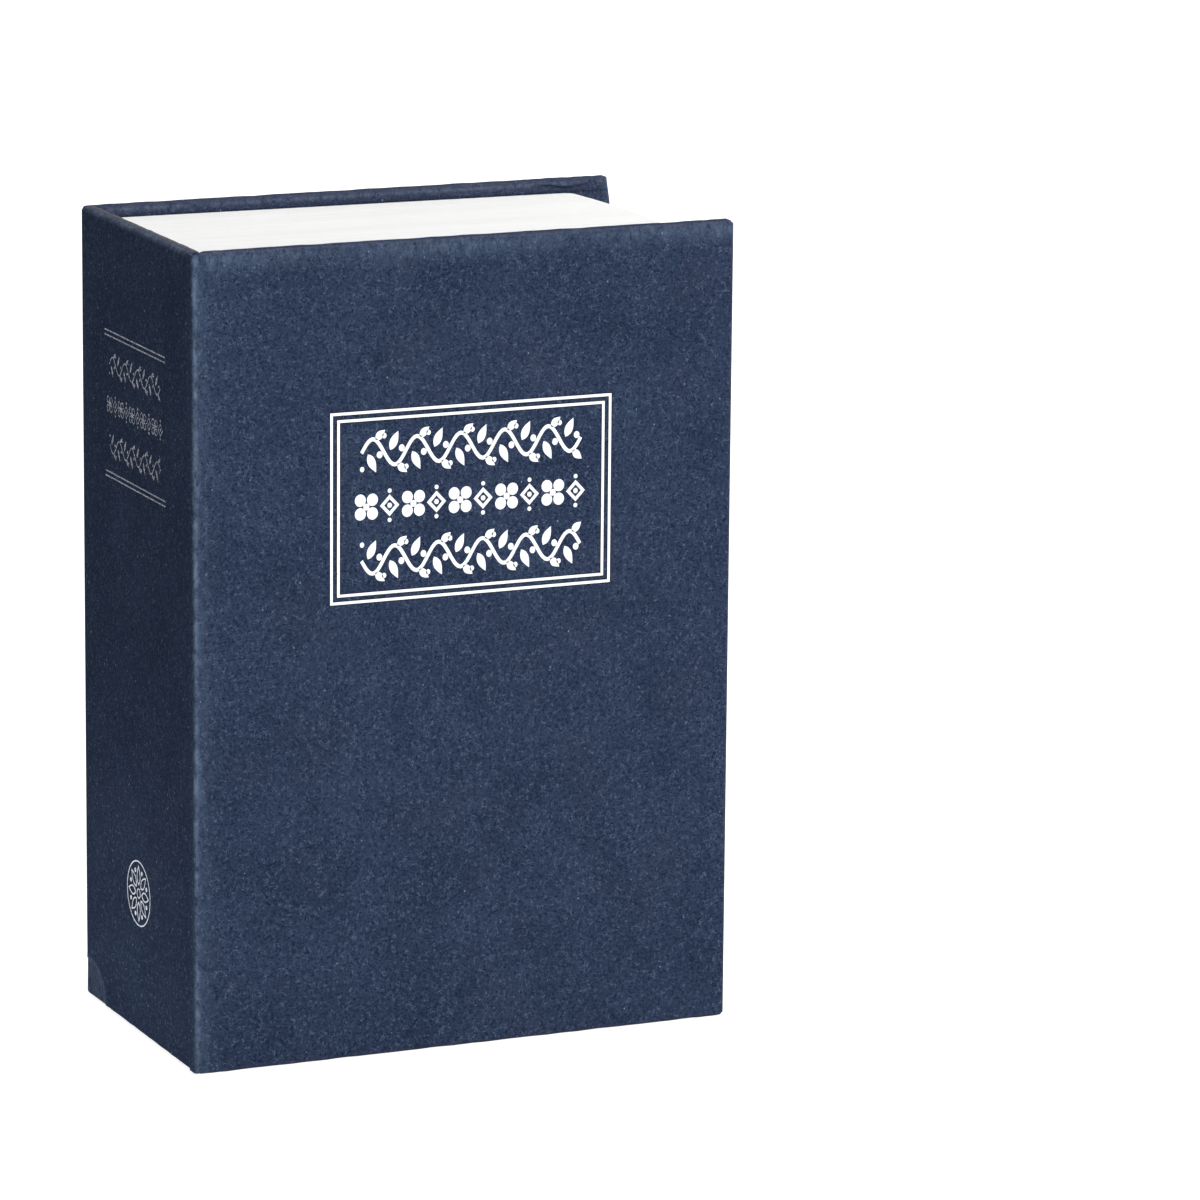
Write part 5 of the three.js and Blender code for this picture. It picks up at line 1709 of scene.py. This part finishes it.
def plastic_finish():
    """Black moulded plastic, satin, with a stipple of fine dots on its faces."""
    material, tree, surface = new_material("black_key_plastic")
    stipple = noise(tree, 2100, detail=2.0, roughness=0.6)
    handled = noise(tree, 110, detail=3.0)
    colour = blended(tree, band(tree, stipple, 0.35, 0.7), (0.009, 0.009, 0.01), (0.018, 0.018, 0.019))
    set_inputs(tree, surface, {"Base Color": colour, "Roughness": band(tree, handled, 0.3, 0.7, 0.28, 0.46)})
    relief(tree, surface, stipple, 0.05 * mm, 0.8)
    return material


key_black = plastic_finish()


def head_outline(inset, radius):
    """The head's trapezoid with rounded corners, inset from its edge."""
    narrow, wide = 10 - inset, 13 - inset
    return rounded_line([(-head_length + inset, -narrow), (-inset, -wide), (-inset, wide),
                         (-head_length + inset, narrow)], radius, 6, closed=True)


def slot_outline(margin, radius):
    """The slot that the ring runs through, widened by a margin."""
    left, right, side = -8.5 - margin, -3.5 + margin, 5.75 + margin
    return rounded_line([(left, -side), (right, -side), (right, side), (left, side)], radius, 4, closed=True)


def key_blade(name, place):
    edges = []
    for shares, side in ((lower_cut_shares, -1), (upper_cut_shares, 1)):
        edges.append([(-head_length - along * blade_length, side * across * blade_width / 2)
                      for along, across in shares])
    root = [(blade_root - head_length, side * blade_width / 2) for side in (-1, 1)]
    outline = [root[0]] + edges[0] + edges[1][::-1] + [root[1]]
    blade = solid_piece(name, prism(outline[::-1], blade_low, blade_high), Matrix.Identity(4), key_nickel)
    cutters = [
        solid_piece("groove", box_part((-56, -0.2, 1.8), (-31.5, 1.1, 3))),
        solid_piece("groove", box_part((-56, -2.3, 1.95), (-33, -1.9, 3))),
        solid_piece("groove", box_part((-56, -1.1, 0), (-31.5, 0.2, 1.0))),
        solid_piece("hole", prism([(-28.7 + 1.3 * x, 0.8 * y) for x, y in circle(1, steps=24)], 0, 3)),
    ]
    cut(blade, cutters)
    edged(blade, 0.1 * mm)
    blade.data.transform(place)
    return blade


# Slanted ribs across both faces of a head give it grip
rib_length, rib_width, rib_round, rib_count, rib_pitch = 4, 0.6, 0.28, 9, 1.5
rib_corners = [(-rib_length / 2, -rib_width / 2), (rib_length / 2, -rib_width / 2),
               (rib_length / 2, rib_width / 2), (-rib_length / 2, rib_width / 2)]
rib_slant = Matrix.Rotation(math.radians(28), 2)
rib_line = [tuple(rib_slant @ Vector(p)) for p in rounded_line(rib_corners, rib_round, 2, closed=True)]
rib_motif = new_piece("rib_motif", *prism(rib_line, -0.2, 0.28))
core_low, core_high = 0.28, 2.52
pocket_gap = 0.1


def outward(shape):
    bmesh.ops.recalc_face_normals(shape, faces=shape.faces)


def key_head(name, place):
    """A head moulded round its blade, with a sunk panel round its slot, rims and ribs on both faces."""
    core = solid_piece("core", prism(head_outline(0, 5), core_low, core_high), Matrix.Identity(4), key_black)
    inner, outer = slot_outline(0.9, 1.6), slot_outline(1.5, 2.0)
    pocket_side = blade_width / 2 + pocket_gap
    pocket = box_part((-head_length - 1, -pocket_side, blade_low - pocket_gap),
                      (blade_root - head_length + 2 * pocket_gap, pocket_side, blade_high + pocket_gap))
    cutters = [
        solid_piece("slot", prism(slot_outline(0, 1.2), -1, 4)),
        solid_piece("pocket", pocket),
        solid_piece("panel", prism(inner, 2.1, 2.6, outer)),
        solid_piece("panel", prism(outer, 0.2, 0.7, inner)),
    ]
    cut(core, cutters)
    edged(core, 0.3 * mm, 60)
    parts = [core]
    for low, high in ((2.4, 2.8), (0.0, 0.4)):
        rim = strip(head_outline(1.3, 4.2), head_outline(2.0, 3.5), low, high, True)
        parts.append(solid_piece("rim", rim, Matrix.Identity(4), key_black))
    for height, flip in ((2.5, 1), (0.3, -1)):
        start = (-13.4, -(rib_count - 1) * rib_pitch / 2, height)
        parts.append(row_of(rib_motif, rib_count, (0, rib_pitch, 0), start, (1, 1, flip),
                            Matrix.Identity(4), key_black))
    head = joined_smooth(name, parts, 30)
    reshaped(head.data, outward)
    head.data.transform(place)
    return head


# Each key hangs back from the ring by a setback and lies on a lift above the box's tail wall
ring_x, ring_y, ring_z = middle_of("key_ring")
box_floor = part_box("steel_box")[0].z + sheet
slot_middle = 6 * mm
key_tilt = math.atan(3.7 / 50.5)
key_places = (("key_1", 1.2 * mm, 3.4 * mm, 0), ("key_2", 2.8 * mm, 6.5 * mm, math.radians(6)))
for name, setback, lift, turn in key_places:
    place = (Matrix.Translation((ring_x - setback - slot_middle, ring_y, box_floor + lift))
             @ Matrix.Rotation(-key_tilt, 4, "Y") @ Matrix.Rotation(turn, 4, "Z")
             @ Matrix.Translation((slot_middle, 0, 0)))
    fitted(key_blade(name + "_blade_cut", place), "book_body", "nickel", name + "_blade")
    fitted(key_head(name + "_head_moulded", place), "book_body", "black_plastic", name + "_head")
bpy.data.objects.remove(rib_motif)

# Split ring: spring wire wound twice round, its ends tapered where they lie beside the next turn
ring_steps, ring_sides = 192, 16
ring_radius, wire_radius, ring_pitch = 9, 0.6, 1.7
wire_end = 0.55
points, faces = [], []
for i in range(ring_steps + 1):
    share = i / ring_steps
    angle = 4 * math.pi * share
    wire_here = wire_radius * min(1, wire_end + 10 * min(share, 1 - share))
    for j in range(ring_sides):
        around = 2 * math.pi * j / ring_sides
        reach = ring_radius + wire_here * math.cos(around)
        rise = 2 * ring_pitch * (share - 0.5) + wire_here * math.sin(around)
        points.append((reach * math.sin(angle), rise, reach * math.cos(angle)))
for i in range(ring_steps):
    for j in range(ring_sides):
        a, b = i * ring_sides + j, i * ring_sides + (j + 1) % ring_sides
        faces.append((a, b, b + ring_sides, a + ring_sides))
last_ring = ring_steps * ring_sides
faces += [tuple(range(ring_sides)), tuple(range(last_ring, last_ring + ring_sides))[::-1]]
wire = metal_finish("bright_spring_wire", (0.74, 0.74, 0.75), 0.13, 0.08, 300)
split_ring = solid_piece("split_ring", (points, faces), Matrix.Translation((ring_x, ring_y, ring_z)), wire)
fitted(smoothed(split_ring, 40), "book_body", "chrome", "key_ring")
